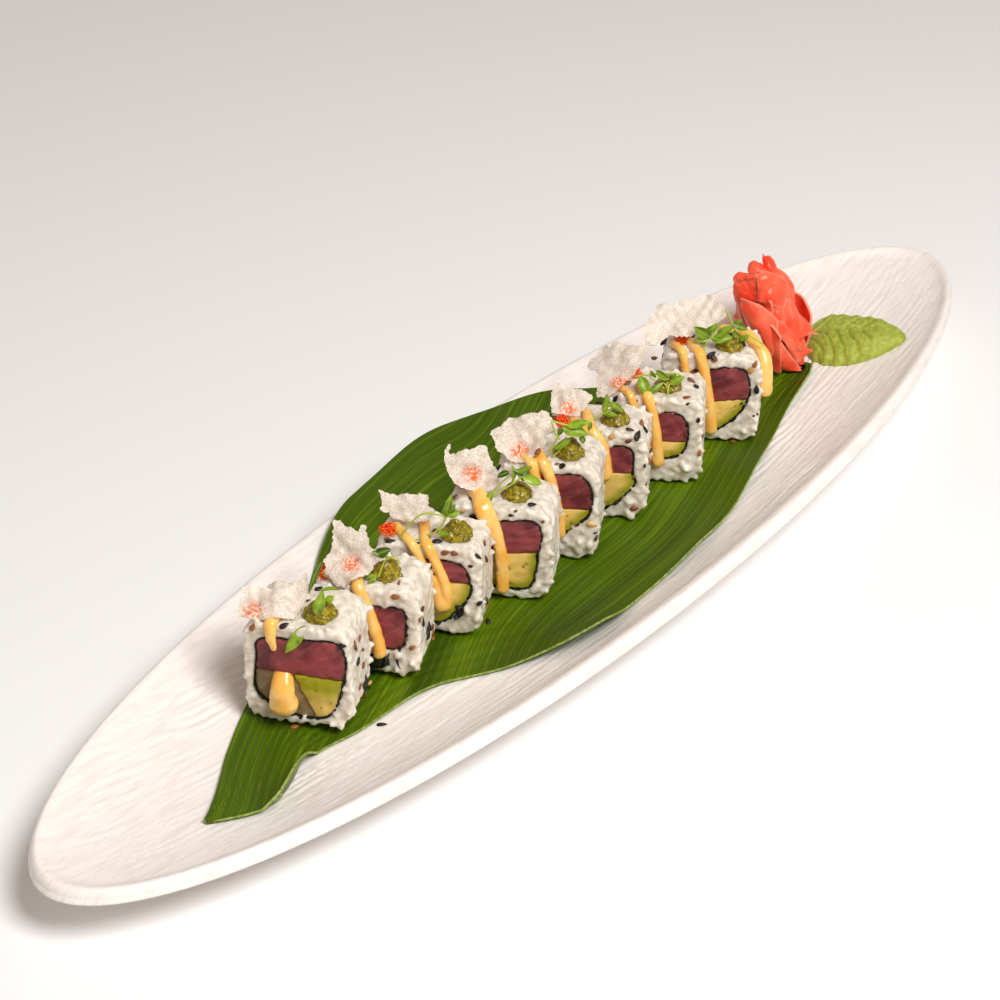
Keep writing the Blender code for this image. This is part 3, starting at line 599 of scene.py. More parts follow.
@dataclass(frozen=True)
class GreenLeaf(Finish):
    """A fresh banana leaf: waxy skin over fine parallel veins.

    The eye gets deep green with lighter lines that follow the leaf, and soft waxy gloss.
    """

    name: str = "waxy_green_leaf"
    dark: str = "#364C00"
    light: str = "#5F7806"
    vein: str = "#97A23A"
    pitch: float = 3.1

    def dress(self, tree: bpy.types.NodeTree, shader: bpy.types.Node) -> None:
        """Sets the shader up as waxy veined leaf; the chart runs (share across, millimetres along)."""
        chart = add_node(tree, "ShaderNodeUVMap", {"uv_map": "chart"}).outputs["UV"]
        place = add_node(tree, "ShaderNodeTexCoord").outputs["Object"]
        lines = add_node(
            tree,
            "ShaderNodeMapping",
            inputs={"Vector": chart, "Scale": (0.62, 0.012, 1.0)},
        ).outputs["Vector"]
        fine = add_node(
            tree,
            "ShaderNodeTexNoise",
            {"noise_dimensions": "2D"},
            {"Vector": lines, "Scale": 1.6, "Detail": 2.0, "Roughness": 0.6},
        ).outputs["Fac"]
        broad_lines = add_node(
            tree,
            "ShaderNodeMapping",
            inputs={"Vector": chart, "Scale": (0.1, 0.006, 1.0)},
        ).outputs["Vector"]
        broad = add_node(
            tree,
            "ShaderNodeTexNoise",
            {"noise_dimensions": "2D"},
            {"Vector": broad_lines, "Scale": 1.0, "Detail": 2.0},
        ).outputs["Fac"]
        both = add_node(
            tree, "ShaderNodeMath", {"operation": "MULTIPLY_ADD"}, {0: fine, 1: 0.55, 2: broad}
        ).outputs["Value"]
        tone = add_node(
            tree,
            "ShaderNodeValToRGB",
            {"stops": ((0.5, self.dark), (0.8, "#475F00"), (1.05, self.light))},
            {"Fac": both},
        ).outputs["Color"]
        wander = add_node(
            tree, "ShaderNodeMath", {"operation": "MULTIPLY"}, {0: broad, 1: 1.2}
        ).outputs["Value"]
        across = add_node(tree, "ShaderNodeSeparateXYZ", inputs={"Vector": chart}).outputs["X"]
        count = add_node(
            tree, "ShaderNodeMath", {"operation": "MULTIPLY_ADD"}, {0: across, 1: 1 / self.pitch, 2: wander}
        ).outputs["Value"]
        swing = add_node(tree, "ShaderNodeMath", {"operation": "PINGPONG"}, {0: count, 1: 0.5}).outputs["Value"]
        rib = add_node(
            tree,
            "ShaderNodeMapRange",
            inputs={"Value": swing, "From Min": 0.0, "From Max": 0.07, "To Min": 0.26, "To Max": 0.0},
        ).outputs["Result"]
        tone = add_node(
            tree, "ShaderNodeMix", {"data_type": "RGBA"}, {0: rib, 6: tone, 7: linear(self.vein)}
        ).outputs[2]
        skin_grain = add_node(
            tree,
            "ShaderNodeTexNoise",
            inputs={"Vector": place, "Scale": scale_for(0.5), "Detail": 1.0},
        ).outputs["Fac"]
        under = add_node(
            tree, "ShaderNodeBump", inputs={"Strength": 0.12, "Distance": 0.0001, "Height": skin_grain}
        ).outputs["Normal"]
        relief = add_node(
            tree,
            "ShaderNodeBump",
            inputs={"Strength": 0.55, "Distance": 0.00035, "Height": fine, "Normal": under},
        ).outputs["Normal"]
        connect(
            tree,
            shader,
            {
                "Base Color": tone,
                "Roughness": 0.44,
                "IOR": 1.28,
                "Normal": relief,
            },
        )


@dataclass(frozen=True)
class LeafEdge(Finish):
    """The cut edge and the paler underside of the leaf: dry fibre ends, matt and yellowish green."""

    name: str = "cut_leaf_edge"
    pale: str = "#97A552"
    green: str = "#6A8626"

    def dress(self, tree: bpy.types.NodeTree, shader: bpy.types.Node) -> None:
        """Sets the shader up as speckled pale green fibre."""
        place = add_node(tree, "ShaderNodeTexCoord").outputs["Object"]
        dots = add_node(
            tree, "ShaderNodeTexNoise", inputs={"Vector": place, "Scale": scale_for(1.1), "Detail": 1.0}
        ).outputs["Fac"]
        tone = add_node(
            tree,
            "ShaderNodeValToRGB",
            {"stops": ((0.42, self.green), (0.58, self.pale))},
            {"Fac": dots},
        ).outputs["Color"]
        connect(tree, shader, {"Base Color": tone, "Roughness": 0.6, "IOR": 1.4})


@dataclass(frozen=True)
class CookedRice(Finish):
    """Cooked short-grain rice dressed with vinegar: swollen, translucent and a little wet.

    The eye gets milky white that glows in its thin parts, a painted shade greyer between the grains, with small wet
    glints.
    """

    name: str = "cooked_vinegared_rice"
    bright: str = "#F0E7DA"
    shade: str = "#DCD1C1"
    wet: str = "#C4B9A6"
    grain: float = 2.6

    def dress(self, tree: bpy.types.NodeTree, shader: bpy.types.Node) -> None:
        """Sets the shader up as wet milky grains that let light through."""
        place = add_node(tree, "ShaderNodeTexCoord").outputs["Object"]
        cloud = add_node(
            tree,
            "ShaderNodeTexNoise",
            inputs={"Vector": place, "Scale": scale_for(self.grain), "Detail": 2.0},
        ).outputs["Fac"]
        tone = add_node(
            tree,
            "ShaderNodeValToRGB",
            {"stops": ((0.34, self.shade), (0.56, self.bright))},
            {"Fac": cloud},
        ).outputs["Color"]
        fine = add_node(
            tree, "ShaderNodeTexNoise", inputs={"Vector": place, "Scale": scale_for(0.6), "Detail": 1.0}
        ).outputs["Fac"]
        cells = add_node(
            tree,
            "ShaderNodeTexVoronoi",
            {"feature": "SMOOTH_F1"},
            {"Vector": place, "Scale": scale_for(self.grain), "Smoothness": 0.25},
        ).outputs["Distance"]
        # Painted shade: the crevices between the grains, which the bump below sinks, are greyed.
        gap = add_node(
            tree,
            "ShaderNodeMapRange",
            inputs={"Value": cells, "From Min": 0.45, "From Max": 0.8, "To Min": 0.0, "To Max": 0.55},
        ).outputs["Result"]
        tone = add_node(
            tree, "ShaderNodeMix", {"data_type": "RGBA"}, {0: gap, 6: tone, 7: linear(self.wet)}
        ).outputs[2]
        packed = add_node(
            tree,
            "ShaderNodeBump",
            {"invert": True},
            {"Strength": 0.6, "Distance": 0.0006, "Height": cells},
        ).outputs["Normal"]
        relief = add_node(
            tree,
            "ShaderNodeBump",
            inputs={"Strength": 0.15, "Distance": 0.0001, "Height": fine, "Normal": packed},
        ).outputs["Normal"]
        connect(
            tree,
            shader,
            {
                "Base Color": tone,
                "Roughness": 0.24,
                "IOR": 1.42,
                "Normal": relief,
                "Subsurface Weight": 0.9,
                "Subsurface Radius": (1.0, 0.9, 0.75),
                "Subsurface Scale": 0.0022,
            },
        )


@dataclass(frozen=True)
class Seaweed(Finish):
    """Roasted seaweed softened by the rice: nearly black green, thin, wrinkled and moist."""

    name: str = "moist_roasted_seaweed"
    black: str = "#0D0F0B"
    green: str = "#23291A"

    def dress(self, tree: bpy.types.NodeTree, shader: bpy.types.Node) -> None:
        """Sets the shader up as dark wrinkled sheet."""
        place = add_node(tree, "ShaderNodeTexCoord").outputs["Object"]
        wrinkle = add_node(
            tree, "ShaderNodeTexNoise", inputs={"Vector": place, "Scale": scale_for(0.9), "Detail": 4.0}
        ).outputs["Fac"]
        tone = add_node(
            tree,
            "ShaderNodeValToRGB",
            {"stops": ((0.4, self.black), (0.7, self.green))},
            {"Fac": wrinkle},
        ).outputs["Color"]
        relief = add_node(
            tree, "ShaderNodeBump", inputs={"Strength": 0.8, "Distance": 0.0003, "Height": wrinkle}
        ).outputs["Normal"]
        connect(tree, shader, {"Base Color": tone, "Roughness": 0.38, "IOR": 1.45, "Normal": relief})


@dataclass(frozen=True)
class FishFlesh(Finish):
    """Raw fish cut with a sharp knife: dense moist muscle with thin pale layers of fat and fibre.

    The eye gets an even deep colour, fine pale lines across it, small painted glints and a wet sheen.

    Attributes:
        deep: The muscle's colour.
        bright: The colour where light gets into thin parts.
        line: The colour of the pale layers and of the painted glints.
        weight: How much the pale layers and the painted glints show.
    """

    name: str = "raw_red_tuna"
    deep: str = "#64282D"
    bright: str = "#9A474A"
    line: str = "#B9807A"
    weight: float = 0.1

    def dress(self, tree: bpy.types.NodeTree, shader: bpy.types.Node) -> None:
        """Sets the shader up as moist layered muscle."""
        place = add_node(tree, "ShaderNodeTexCoord").outputs["Object"]
        cloud = add_node(
            tree, "ShaderNodeTexNoise", inputs={"Vector": place, "Scale": scale_for(7.0), "Detail": 3.0}
        ).outputs["Fac"]
        flesh = add_node(
            tree,
            "ShaderNodeValToRGB",
            {"stops": ((0.36, self.deep), (0.62, self.bright))},
            {"Fac": cloud},
        ).outputs["Color"]
        # The fat lies in layers about 2.4 mm apart, seen here as thin slanting lines.
        turned = add_node(
            tree,
            "ShaderNodeMapping",
            inputs={"Vector": place, "Rotation": (0.5, 0.35, 0.9)},
        ).outputs["Vector"]
        layers = add_node(
            tree,
            "ShaderNodeTexWave",
            {"wave_type": "BANDS", "bands_direction": "Z", "wave_profile": "SIN"},
            {
                "Vector": turned,
                "Scale": scale_for(15.0),
                "Distortion": 3.5,
                "Detail": 3.0,
                "Detail Scale": 1.5,
            },
        ).outputs["Fac"]
        thin = add_node(
            tree,
            "ShaderNodeMapRange",
            inputs={"Value": layers, "From Min": 0.86, "From Max": 1.0, "To Max": self.weight},
        ).outputs["Result"]
        speck = add_node(
            tree, "ShaderNodeTexNoise", inputs={"Vector": place, "Scale": scale_for(0.55), "Detail": 1.0}
        ).outputs["Fac"]
        # Painted glints: pale specks on the tops of the fine bumps.
        glint = add_node(
            tree,
            "ShaderNodeMapRange",
            inputs={"Value": speck, "From Min": 0.64, "From Max": 0.72, "To Max": self.weight},
        ).outputs["Result"]
        most = add_node(
            tree, "ShaderNodeMath", {"operation": "MAXIMUM"}, {0: thin, 1: glint}
        ).outputs["Value"]
        tone = add_node(
            tree,
            "ShaderNodeMix",
            {"data_type": "RGBA"},
            {0: most, 6: flesh, 7: linear(self.line)},
        ).outputs[2]
        relief = add_node(
            tree, "ShaderNodeBump", inputs={"Strength": 0.3, "Distance": 0.00015, "Height": speck}
        ).outputs["Normal"]
        connect(
            tree,
            shader,
            {
                "Base Color": tone,
                "Roughness": 0.32,
                "IOR": 1.38,
                "Normal": relief,
                "Subsurface Weight": 0.25,
                "Subsurface Radius": (1.0, 0.35, 0.3),
                "Subsurface Scale": 0.0012,
            },
        )


@dataclass(frozen=True)
class Avocado(Finish):
    """Ripe avocado cut across: buttery yellow flesh, green towards the skin, with brown fibre ends."""

    name: str = "ripe_avocado"
    butter: str = "#EAC86E"
    green: str = "#A5A020"
    brown: str = "#84561A"

    def dress(self, tree: bpy.types.NodeTree, shader: bpy.types.Node) -> None:
        """Sets the shader up as buttery flesh; the mark "rim" says how near the skin a place is."""
        place = add_node(tree, "ShaderNodeTexCoord").outputs["Object"]
        rim = add_node(tree, "ShaderNodeAttribute", {"attribute_name": "rim"}).outputs["Fac"]
        flesh = add_node(
            tree,
            "ShaderNodeValToRGB",
            {"stops": ((0.05, self.butter), (0.8, self.green))},
            {"Fac": rim},
        ).outputs["Color"]
        cells = add_node(
            tree, "ShaderNodeTexNoise", inputs={"Vector": place, "Scale": scale_for(2.3), "Detail": 1.0}
        ).outputs["Fac"]
        spots = add_node(
            tree,
            "ShaderNodeMapRange",
            inputs={"Value": cells, "From Min": 0.64, "From Max": 0.72, "To Max": 0.75},
        ).outputs["Result"]
        tone = add_node(
            tree,
            "ShaderNodeMix",
            {"data_type": "RGBA"},
            {0: spots, 6: flesh, 7: linear(self.brown)},
        ).outputs[2]
        fine = add_node(
            tree, "ShaderNodeTexNoise", inputs={"Vector": place, "Scale": scale_for(0.8), "Detail": 2.0}
        ).outputs["Fac"]
        relief = add_node(
            tree, "ShaderNodeBump", inputs={"Strength": 0.2, "Distance": 0.0002, "Height": fine}
        ).outputs["Normal"]
        connect(
            tree,
            shader,
            {
                "Base Color": tone,
                "Roughness": 0.38,
                "IOR": 1.4,
                "Normal": relief,
                "Subsurface Weight": 0.3,
                "Subsurface Radius": (1.0, 0.9, 0.3),
                "Subsurface Scale": 0.001,
            },
        )


@dataclass(frozen=True)
class SpicySauce(Finish):
    """Mayonnaise sauce with chilli: a thick smooth emulsion squeezed from a bottle.

    The eye gets pale orange yellow that glows a little, hard wet highlights and a few red specks.
    """

    name: str = "chilli_mayonnaise"
    cream: str = "#FFCC74"
    thick: str = "#FFB84E"
    speck: str = "#F08A28"

    def dress(self, tree: bpy.types.NodeTree, shader: bpy.types.Node) -> None:
        """Sets the shader up as glossy emulsion."""
        place = add_node(tree, "ShaderNodeTexCoord").outputs["Object"]
        cloud = add_node(
            tree, "ShaderNodeTexNoise", inputs={"Vector": place, "Scale": scale_for(6.0), "Detail": 1.0}
        ).outputs["Fac"]
        base = add_node(
            tree,
            "ShaderNodeValToRGB",
            {"stops": ((0.35, self.thick), (0.6, self.cream))},
            {"Fac": cloud},
        ).outputs["Color"]
        dots = add_node(
            tree,
            "ShaderNodeTexVoronoi",
            inputs={"Vector": place, "Scale": scale_for(3.4)},
        ).outputs["Distance"]
        spots = add_node(
            tree,
            "ShaderNodeMapRange",
            inputs={"Value": dots, "From Min": 0.06, "From Max": 0.11, "To Min": 0.6, "To Max": 0.0},
        ).outputs["Result"]
        tone = add_node(
            tree,
            "ShaderNodeMix",
            {"data_type": "RGBA"},
            {0: spots, 6: base, 7: linear(self.speck)},
        ).outputs[2]
        connect(
            tree,
            shader,
            {
                "Base Color": tone,
                "Roughness": 0.2,
                "IOR": 1.46,
                "Coat Weight": 0.35,
                "Coat Roughness": 0.08,
                "Subsurface Weight": 0.45,
                "Subsurface Radius": (1.0, 0.6, 0.25),
                "Subsurface Scale": 0.0016,
            },
        )


@dataclass(frozen=True)
class SesameSkin(Finish):
    """The dry skin of a sesame seed: finely ribbed and matt with a faint sheen.

    Attributes:
        dark: The skin's darker colour.
        light: The skin's lighter colour.
    """

    name: str = "black_sesame_skin"
    dark: str = "#0E0B0A"
    light: str = "#2A2220"

    def dress(self, tree: bpy.types.NodeTree, shader: bpy.types.Node) -> None:
        """Sets the shader up as ribbed seed skin, one tone for each seed."""
        place = add_node(tree, "ShaderNodeTexCoord").outputs["Object"]
        pick = add_node(tree, "ShaderNodeAttribute", {"attribute_name": "pick"}).outputs["Fac"]
        tone = add_node(
            tree,
            "ShaderNodeValToRGB",
            {"stops": ((0.0, self.dark), (1.0, self.light))},
            {"Fac": pick},
        ).outputs["Color"]
        ribs = add_node(
            tree, "ShaderNodeTexNoise", inputs={"Vector": place, "Scale": scale_for(0.35), "Detail": 2.0}
        ).outputs["Fac"]
        relief = add_node(
            tree, "ShaderNodeBump", inputs={"Strength": 0.5, "Distance": 0.0001, "Height": ribs}
        ).outputs["Normal"]
        connect(tree, shader, {"Base Color": tone, "Roughness": 0.42, "IOR": 1.45, "Normal": relief})


@dataclass(frozen=True)
class FishRoe(Finish):
    """Small fish roe: thin clear skins full of orange oil, so each one is a glowing bead."""

    name: str = "orange_fish_roe"
    deep: str = "#FF4206"
    light: str = "#FF7A26"

    def dress(self, tree: bpy.types.NodeTree, shader: bpy.types.Node) -> None:
        """Sets the shader up as oily translucent beads."""
        pick = add_node(tree, "ShaderNodeAttribute", {"attribute_name": "pick"}).outputs["Fac"]
        tone = add_node(
            tree,
            "ShaderNodeValToRGB",
            {"stops": ((0.0, self.deep), (1.0, self.light))},
            {"Fac": pick},
        ).outputs["Color"]
        connect(
            tree,
            shader,
            {
                "Base Color": tone,
                "Roughness": 0.12,
                "IOR": 1.38,
                "Subsurface Weight": 0.7,
                "Subsurface Radius": (1.0, 0.3, 0.1),
                "Subsurface Scale": 0.0008,
            },
        )


@dataclass(frozen=True)
class PuffedCrisp(Finish):
    """A fried crisp of puffed skin: a thin web of fine bubbles, open in places and dry to the touch.

    The eye gets pale beige lace with tiny dark pinholes, light coming through it, and orange oil low down.
    """

    name: str = "puffed_fried_crisp"
    pale: str = "#F7EADC"
    tan: str = "#EEDBC6"
    hole: str = "#8C6A4E"
    oil: str = "#FF7414"
    bubble: float = 0.5

    def dress(self, tree: bpy.types.NodeTree, shader: bpy.types.Node) -> None:
        """Sets the shader up as bubbly lace; the mark "stain" says where roe oil has soaked in."""
        place = add_node(tree, "ShaderNodeTexCoord").outputs["Object"]
        stain = add_node(tree, "ShaderNodeAttribute", {"attribute_name": "stain"}).outputs["Fac"]
        cloud = add_node(
            tree, "ShaderNodeTexNoise", inputs={"Vector": place, "Scale": scale_for(3.0), "Detail": 2.0}
        ).outputs["Fac"]
        cells = add_node(
            tree,
            "ShaderNodeTexVoronoi",
            {"feature": "F1"},
            {"Vector": place, "Scale": scale_for(self.bubble)},
        )
        pick = add_node(
            tree, "ShaderNodeSeparateColor", inputs={"Color": cells.outputs["Color"]}
        ).outputs["Red"]
        base = add_node(
            tree,
            "ShaderNodeValToRGB",
            {"stops": ((0.3, self.tan), (0.5, self.pale))},
            {"Fac": cloud},
        ).outputs["Color"]
        dark = add_node(
            tree,
            "ShaderNodeMapRange",
            inputs={"Value": cells.outputs["Distance"], "From Min": 0.12, "From Max": 0.3, "To Min": 0.75, "To Max": 0.0},
        ).outputs["Result"]
        some = add_node(
            tree, "ShaderNodeMath", {"operation": "GREATER_THAN"}, {0: pick, 1: 0.2}
        ).outputs["Value"]
        pinhole = add_node(tree, "ShaderNodeMath", {"operation": "MULTIPLY"}, {0: dark, 1: some}).outputs["Value"]
        speckled = add_node(
            tree, "ShaderNodeMix", {"data_type": "RGBA"}, {0: pinhole, 6: base, 7: linear(self.hole)}
        ).outputs[2]
        grains = add_node(
            tree, "ShaderNodeTexNoise", inputs={"Vector": place, "Scale": scale_for(0.8), "Detail": 1.0}
        ).outputs["Fac"]
        soaked = add_node(
            tree,
            "ShaderNodeMath",
            {"operation": "MULTIPLY_ADD"},
            {0: grains, 1: 7.0, 2: -2.7},
        ).outputs["Value"]
        soak = add_node(
            tree, "ShaderNodeMath", {"operation": "MULTIPLY", "use_clamp": True}, {0: soaked, 1: stain}
        ).outputs["Value"]
        tone = add_node(
            tree, "ShaderNodeMix", {"data_type": "RGBA"}, {0: soak, 6: speckled, 7: linear(self.oil)}
        ).outputs[2]
        # Bubbles are about 0.5 mm; the open ones let what is behind show through.
        closed = add_node(
            tree,
            "ShaderNodeMapRange",
            inputs={"Value": pick, "From Min": 0.2, "From Max": 1.0, "To Min": 0.8, "To Max": 0.52},
        ).outputs["Result"]
        relief = add_node(
            tree,
            "ShaderNodeBump",
            inputs={"Strength": 0.3, "Distance": 0.00015, "Height": cells.outputs["Distance"]},
        ).outputs["Normal"]
        connect(
            tree,
            shader,
            {
                "Base Color": tone,
                "Roughness": 0.5,
                "IOR": 1.45,
                "Alpha": closed,
                "Normal": relief,
            },
        )


@dataclass(frozen=True)
class GreenRelish(Finish):
    """Chopped pickled green wasabi stem in its own oil: small wet pieces, olive to mustard."""

    name: str = "chopped_pickled_stem"
    deep: str = "#5A4E04"
    light: str = "#B49C24"

    def dress(self, tree: bpy.types.NodeTree, shader: bpy.types.Node) -> None:
        """Sets the shader up as wet chopped pieces."""
        place = add_node(tree, "ShaderNodeTexCoord").outputs["Object"]
        pieces = add_node(
            tree,
            "ShaderNodeTexVoronoi",
            inputs={"Vector": place, "Scale": scale_for(0.9)},
        )
        tone = add_node(
            tree,
            "ShaderNodeValToRGB",
            {"stops": ((0.1, self.deep), (0.5, "#82740C"), (0.95, self.light))},
            {"Fac": pieces.outputs["Color"]},
        ).outputs["Color"]
        relief = add_node(
            tree,
            "ShaderNodeBump",
            inputs={"Strength": 0.6, "Distance": 0.0003, "Height": pieces.outputs["Distance"]},
        ).outputs["Normal"]
        connect(
            tree,
            shader,
            {
                "Base Color": tone,
                "Roughness": 0.2,
                "IOR": 1.42,
                "Normal": relief,
            },
        )


@dataclass(frozen=True)
class CressLeaf(Finish):
    """Micro cress: thin tender leaves and pale stems that let light through."""

    name: str = "tender_cress"
    shade: str = "#2A4A04"
    deep: str = "#6A8C0C"
    light: str = "#AEBC44"

    def dress(self, tree: bpy.types.NodeTree, shader: bpy.types.Node) -> None:
        """Sets the shader up as thin leaf; "pale" is 1 on stems and midribs, "dark" is painted shade, 1 on leaves in
        shadow.
        """
        place = add_node(tree, "ShaderNodeTexCoord").outputs["Object"]
        dark = add_node(tree, "ShaderNodeAttribute", {"attribute_name": "dark"}).outputs["Fac"]
        pale = add_node(tree, "ShaderNodeAttribute", {"attribute_name": "pale"}).outputs["Fac"]
        cloud = add_node(
            tree, "ShaderNodeTexNoise", inputs={"Vector": place, "Scale": scale_for(2.5), "Detail": 2.0}
        ).outputs["Fac"]
        green = add_node(
            tree,
            "ShaderNodeValToRGB",
            {"stops": ((0.35, self.deep), (0.62, "#98B62A"))},
            {"Fac": cloud},
        ).outputs["Color"]
        # Painted shade: the mark "dark" mixes in the shade colour on leaves that lie in shadow.
        shaded = add_node(
            tree, "ShaderNodeMix", {"data_type": "RGBA"}, {0: dark, 6: green, 7: linear(self.shade)}
        ).outputs[2]
        tone = add_node(
            tree, "ShaderNodeMix", {"data_type": "RGBA"}, {0: pale, 6: shaded, 7: linear(self.light)}
        ).outputs[2]
        relief = add_node(
            tree, "ShaderNodeBump", inputs={"Strength": 0.3, "Distance": 0.0002, "Height": cloud}
        ).outputs["Normal"]
        connect(
            tree,
            shader,
            {
                "Base Color": tone,
                "Roughness": 0.34,
                "IOR": 1.42,
                "Normal": relief,
                "Subsurface Weight": 0.15,
                "Subsurface Radius": (0.7, 1.0, 0.2),
                "Subsurface Scale": 0.001,
            },
        )


@dataclass(frozen=True)
class PickledGinger(Finish):
    """Ginger sliced thin and pickled: limp translucent slices stained coral red, wet on the outside."""

    name: str = "coral_pickled_ginger"
    deep: str = "#FF4A2C"
    light: str = "#FFA88C"

    def dress(self, tree: bpy.types.NodeTree, shader: bpy.types.Node) -> None:
        """Sets the shader up as wet translucent slices; the mark "edge" is 1 at a slice's rim."""
        place = add_node(tree, "ShaderNodeTexCoord").outputs["Object"]
        edge = add_node(tree, "ShaderNodeAttribute", {"attribute_name": "edge"}).outputs["Fac"]
        cloud = add_node(
            tree, "ShaderNodeTexNoise", inputs={"Vector": place, "Scale": scale_for(9.0), "Detail": 2.0}
        ).outputs["Fac"]
        flesh = add_node(
            tree,
            "ShaderNodeValToRGB",
            {"stops": ((0.35, self.deep), (0.7, "#FF7654"))},
            {"Fac": cloud},
        ).outputs["Color"]
        part = add_node(
            tree, "ShaderNodeMath", {"operation": "MULTIPLY"}, {0: edge, 1: 0.75}
        ).outputs["Value"]
        tone = add_node(
            tree, "ShaderNodeMix", {"data_type": "RGBA"}, {0: part, 6: flesh, 7: linear(self.light)}
        ).outputs[2]
        fibre = add_node(
            tree,
            "ShaderNodeTexNoise",
            inputs={"Vector": place, "Scale": scale_for(1.2), "Detail": 2.0},
        ).outputs["Fac"]
        relief = add_node(
            tree, "ShaderNodeBump", inputs={"Strength": 0.15, "Distance": 0.0002, "Height": fibre}
        ).outputs["Normal"]
        connect(
            tree,
            shader,
            {
                "Base Color": tone,
                "Roughness": 0.3,
                "IOR": 1.36,
                "Normal": relief,
                "Subsurface Weight": 0.3,
                "Subsurface Radius": (1.0, 0.4, 0.3),
                "Subsurface Scale": 0.0006,
            },
        )


@dataclass(frozen=True)
class HorseradishPaste(Finish):
    """Green horseradish paste pressed into a leaf: a dense damp paste with a slightly torn, grainy skin."""

    name: str = "pressed_horseradish_paste"
    deep: str = "#939E34"
    light: str = "#AFBA4C"

    def dress(self, tree: bpy.types.NodeTree, shader: bpy.types.Node) -> None:
        """Sets the shader up as damp grainy paste."""
        place = add_node(tree, "ShaderNodeTexCoord").outputs["Object"]
        grain = add_node(
            tree, "ShaderNodeTexNoise", inputs={"Vector": place, "Scale": scale_for(1.6), "Detail": 5.0}
        ).outputs["Fac"]
        tone = add_node(
            tree,
            "ShaderNodeValToRGB",
            {"stops": ((0.35, self.deep), (0.65, self.light))},
            {"Fac": grain},
        ).outputs["Color"]
        relief = add_node(
            tree, "ShaderNodeBump", inputs={"Strength": 0.35, "Distance": 0.0003, "Height": grain}
        ).outputs["Normal"]
        connect(
            tree,
            shader,
            {
                "Base Color": tone,
                "Roughness": 0.55,
                "IOR": 1.4,
                "Normal": relief,
                "Subsurface Weight": 0.2,
                "Subsurface Radius": (0.8, 1.0, 0.4),
                "Subsurface Scale": 0.001,
            },
        )


@dataclass(frozen=True)
class PaperFloor(Finish):
    """Matt white studio paper."""

    name: str = "matt_white_paper"
    white: str = "#F7F7F7"

    def dress(self, tree: bpy.types.NodeTree, shader: bpy.types.Node) -> None:
        """Sets the shader up as plain paper."""
        connect(tree, shader, {"Base Color": linear(self.white), "Roughness": 0.8})


# ------------------------------------------------------- platter and leaf


@dataclass
class Platter:
    """The long oval platter.

    Attributes:
        half_length: Half its length.
        half_width: Half its width.
        lip_width: Width of the rounded lip.
        floor_height: Height of its flat middle.
        lip_foot_height: Height where the inner wall meets the lip.
        flat_share: How far out the flat middle reaches, as a share of the inner half size.
        lip: The lip's section, from the inside out, as (inset, height).
        wall: The outer wall and foot, as (share of the inner half size, height).
        ridge_pitch: Distance between the brushed ridges.
        ridge_height: Height of a ridge.
        bend: How much the ridges curve towards the far side at the ends.
    """

    half_length: float = 224.9
    half_width: float = 58.0
    lip_width: float = 5.0
    floor_height: float = 6.5
    lip_foot_height: float = 18.4
    flat_share: float = 0.42
    lip: tuple = ((5.0, 18.6), (3.9, 19.3), (2.8, 19.8), (1.6, 19.9), (0.5, 19.1), (0.0, 17.6), (0.4, 15.4))
    wall: tuple = ((0.955, 11.4), (0.88, 7.2), (0.76, 3.4), (0.64, 1.1), (0.57, 0.0))
    ridge_pitch: float = 2.5
    ridge_height: float = 0.19
    bend: float = 0.0005
    sides: int = 540
    inner_rings: int = 68

    def height(self, x: np.ndarray, y: np.ndarray) -> np.ndarray:
        """Height of the upper side over a place, with no ridges."""
        inner = (self.half_length - self.lip_width, self.half_width - self.lip_width)
        share = np.hypot(x / inner[0], y / inner[1])
        rise = np.maximum(0.0, share - self.flat_share) / (1 - self.flat_share)
        climb = (self.lip_foot_height - self.floor_height) * rise**2
        return np.minimum(20.0, self.floor_height + climb)

    def ridges(self, x: np.ndarray, y: np.ndarray) -> np.ndarray:
        """Height of the brushed ridges at a place."""
        across = y - self.bend * x**2
        stroke = np.stack([x / 5.0, across], -1)
        drift = waves(stroke, 3.4, 11) * 1.9
        strength = 0.55 + 0.45 * waves(stroke, 7.0, 12)
        profile = np.sin(2 * math.pi * across / self.ridge_pitch + drift)
        fine = 0.35 * np.sin(2 * math.pi * across / (self.ridge_pitch * 0.43) + waves(stroke, 2.0, 13) * 2.4)
        return self.ridge_height * strength * (profile + fine)

    def build(self, material: bpy.types.Material) -> Body:
        """Makes the platter.

        Args:
            material: Its glaze.

        Returns:
            Its body.
        """
        inner = np.array([self.half_length - self.lip_width, self.half_width - self.lip_width])
        outer = np.array([self.half_length, self.half_width])
        section = [(*(inner * share), None) for share in np.linspace(0.012, 0.985, self.inner_rings)]
        rim = [(*(outer - step), height) for step, height in self.lip]
        rim += [(*(inner * share), height) for share, height in self.wall]
        section += [tuple(row) for row in catmull(rim, 4)]
        angles = np.linspace(0, 2 * math.pi, self.sides, endpoint=False)
        rings = []
        for number, (length, width, height) in enumerate(section):
            x, y = length * np.cos(angles), width * np.sin(angles)
            if height is None:
                fade = min(1.0, (self.inner_rings - number) / 5)
                height = self.height(x, y) + self.ridges(x, y) * fade
            rings.append(np.stack([x, y, np.broadcast_to(height, x.shape)], -1))
        for share in (0.5, 0.25):
            rings.append(
                np.stack([inner[0] * share * np.cos(angles), inner[1] * share * np.sin(angles), 0 * angles], -1)
            )
        body = skin(np.array(rings))
        make_piece("platter", body, [material], ("plate",))
        return body


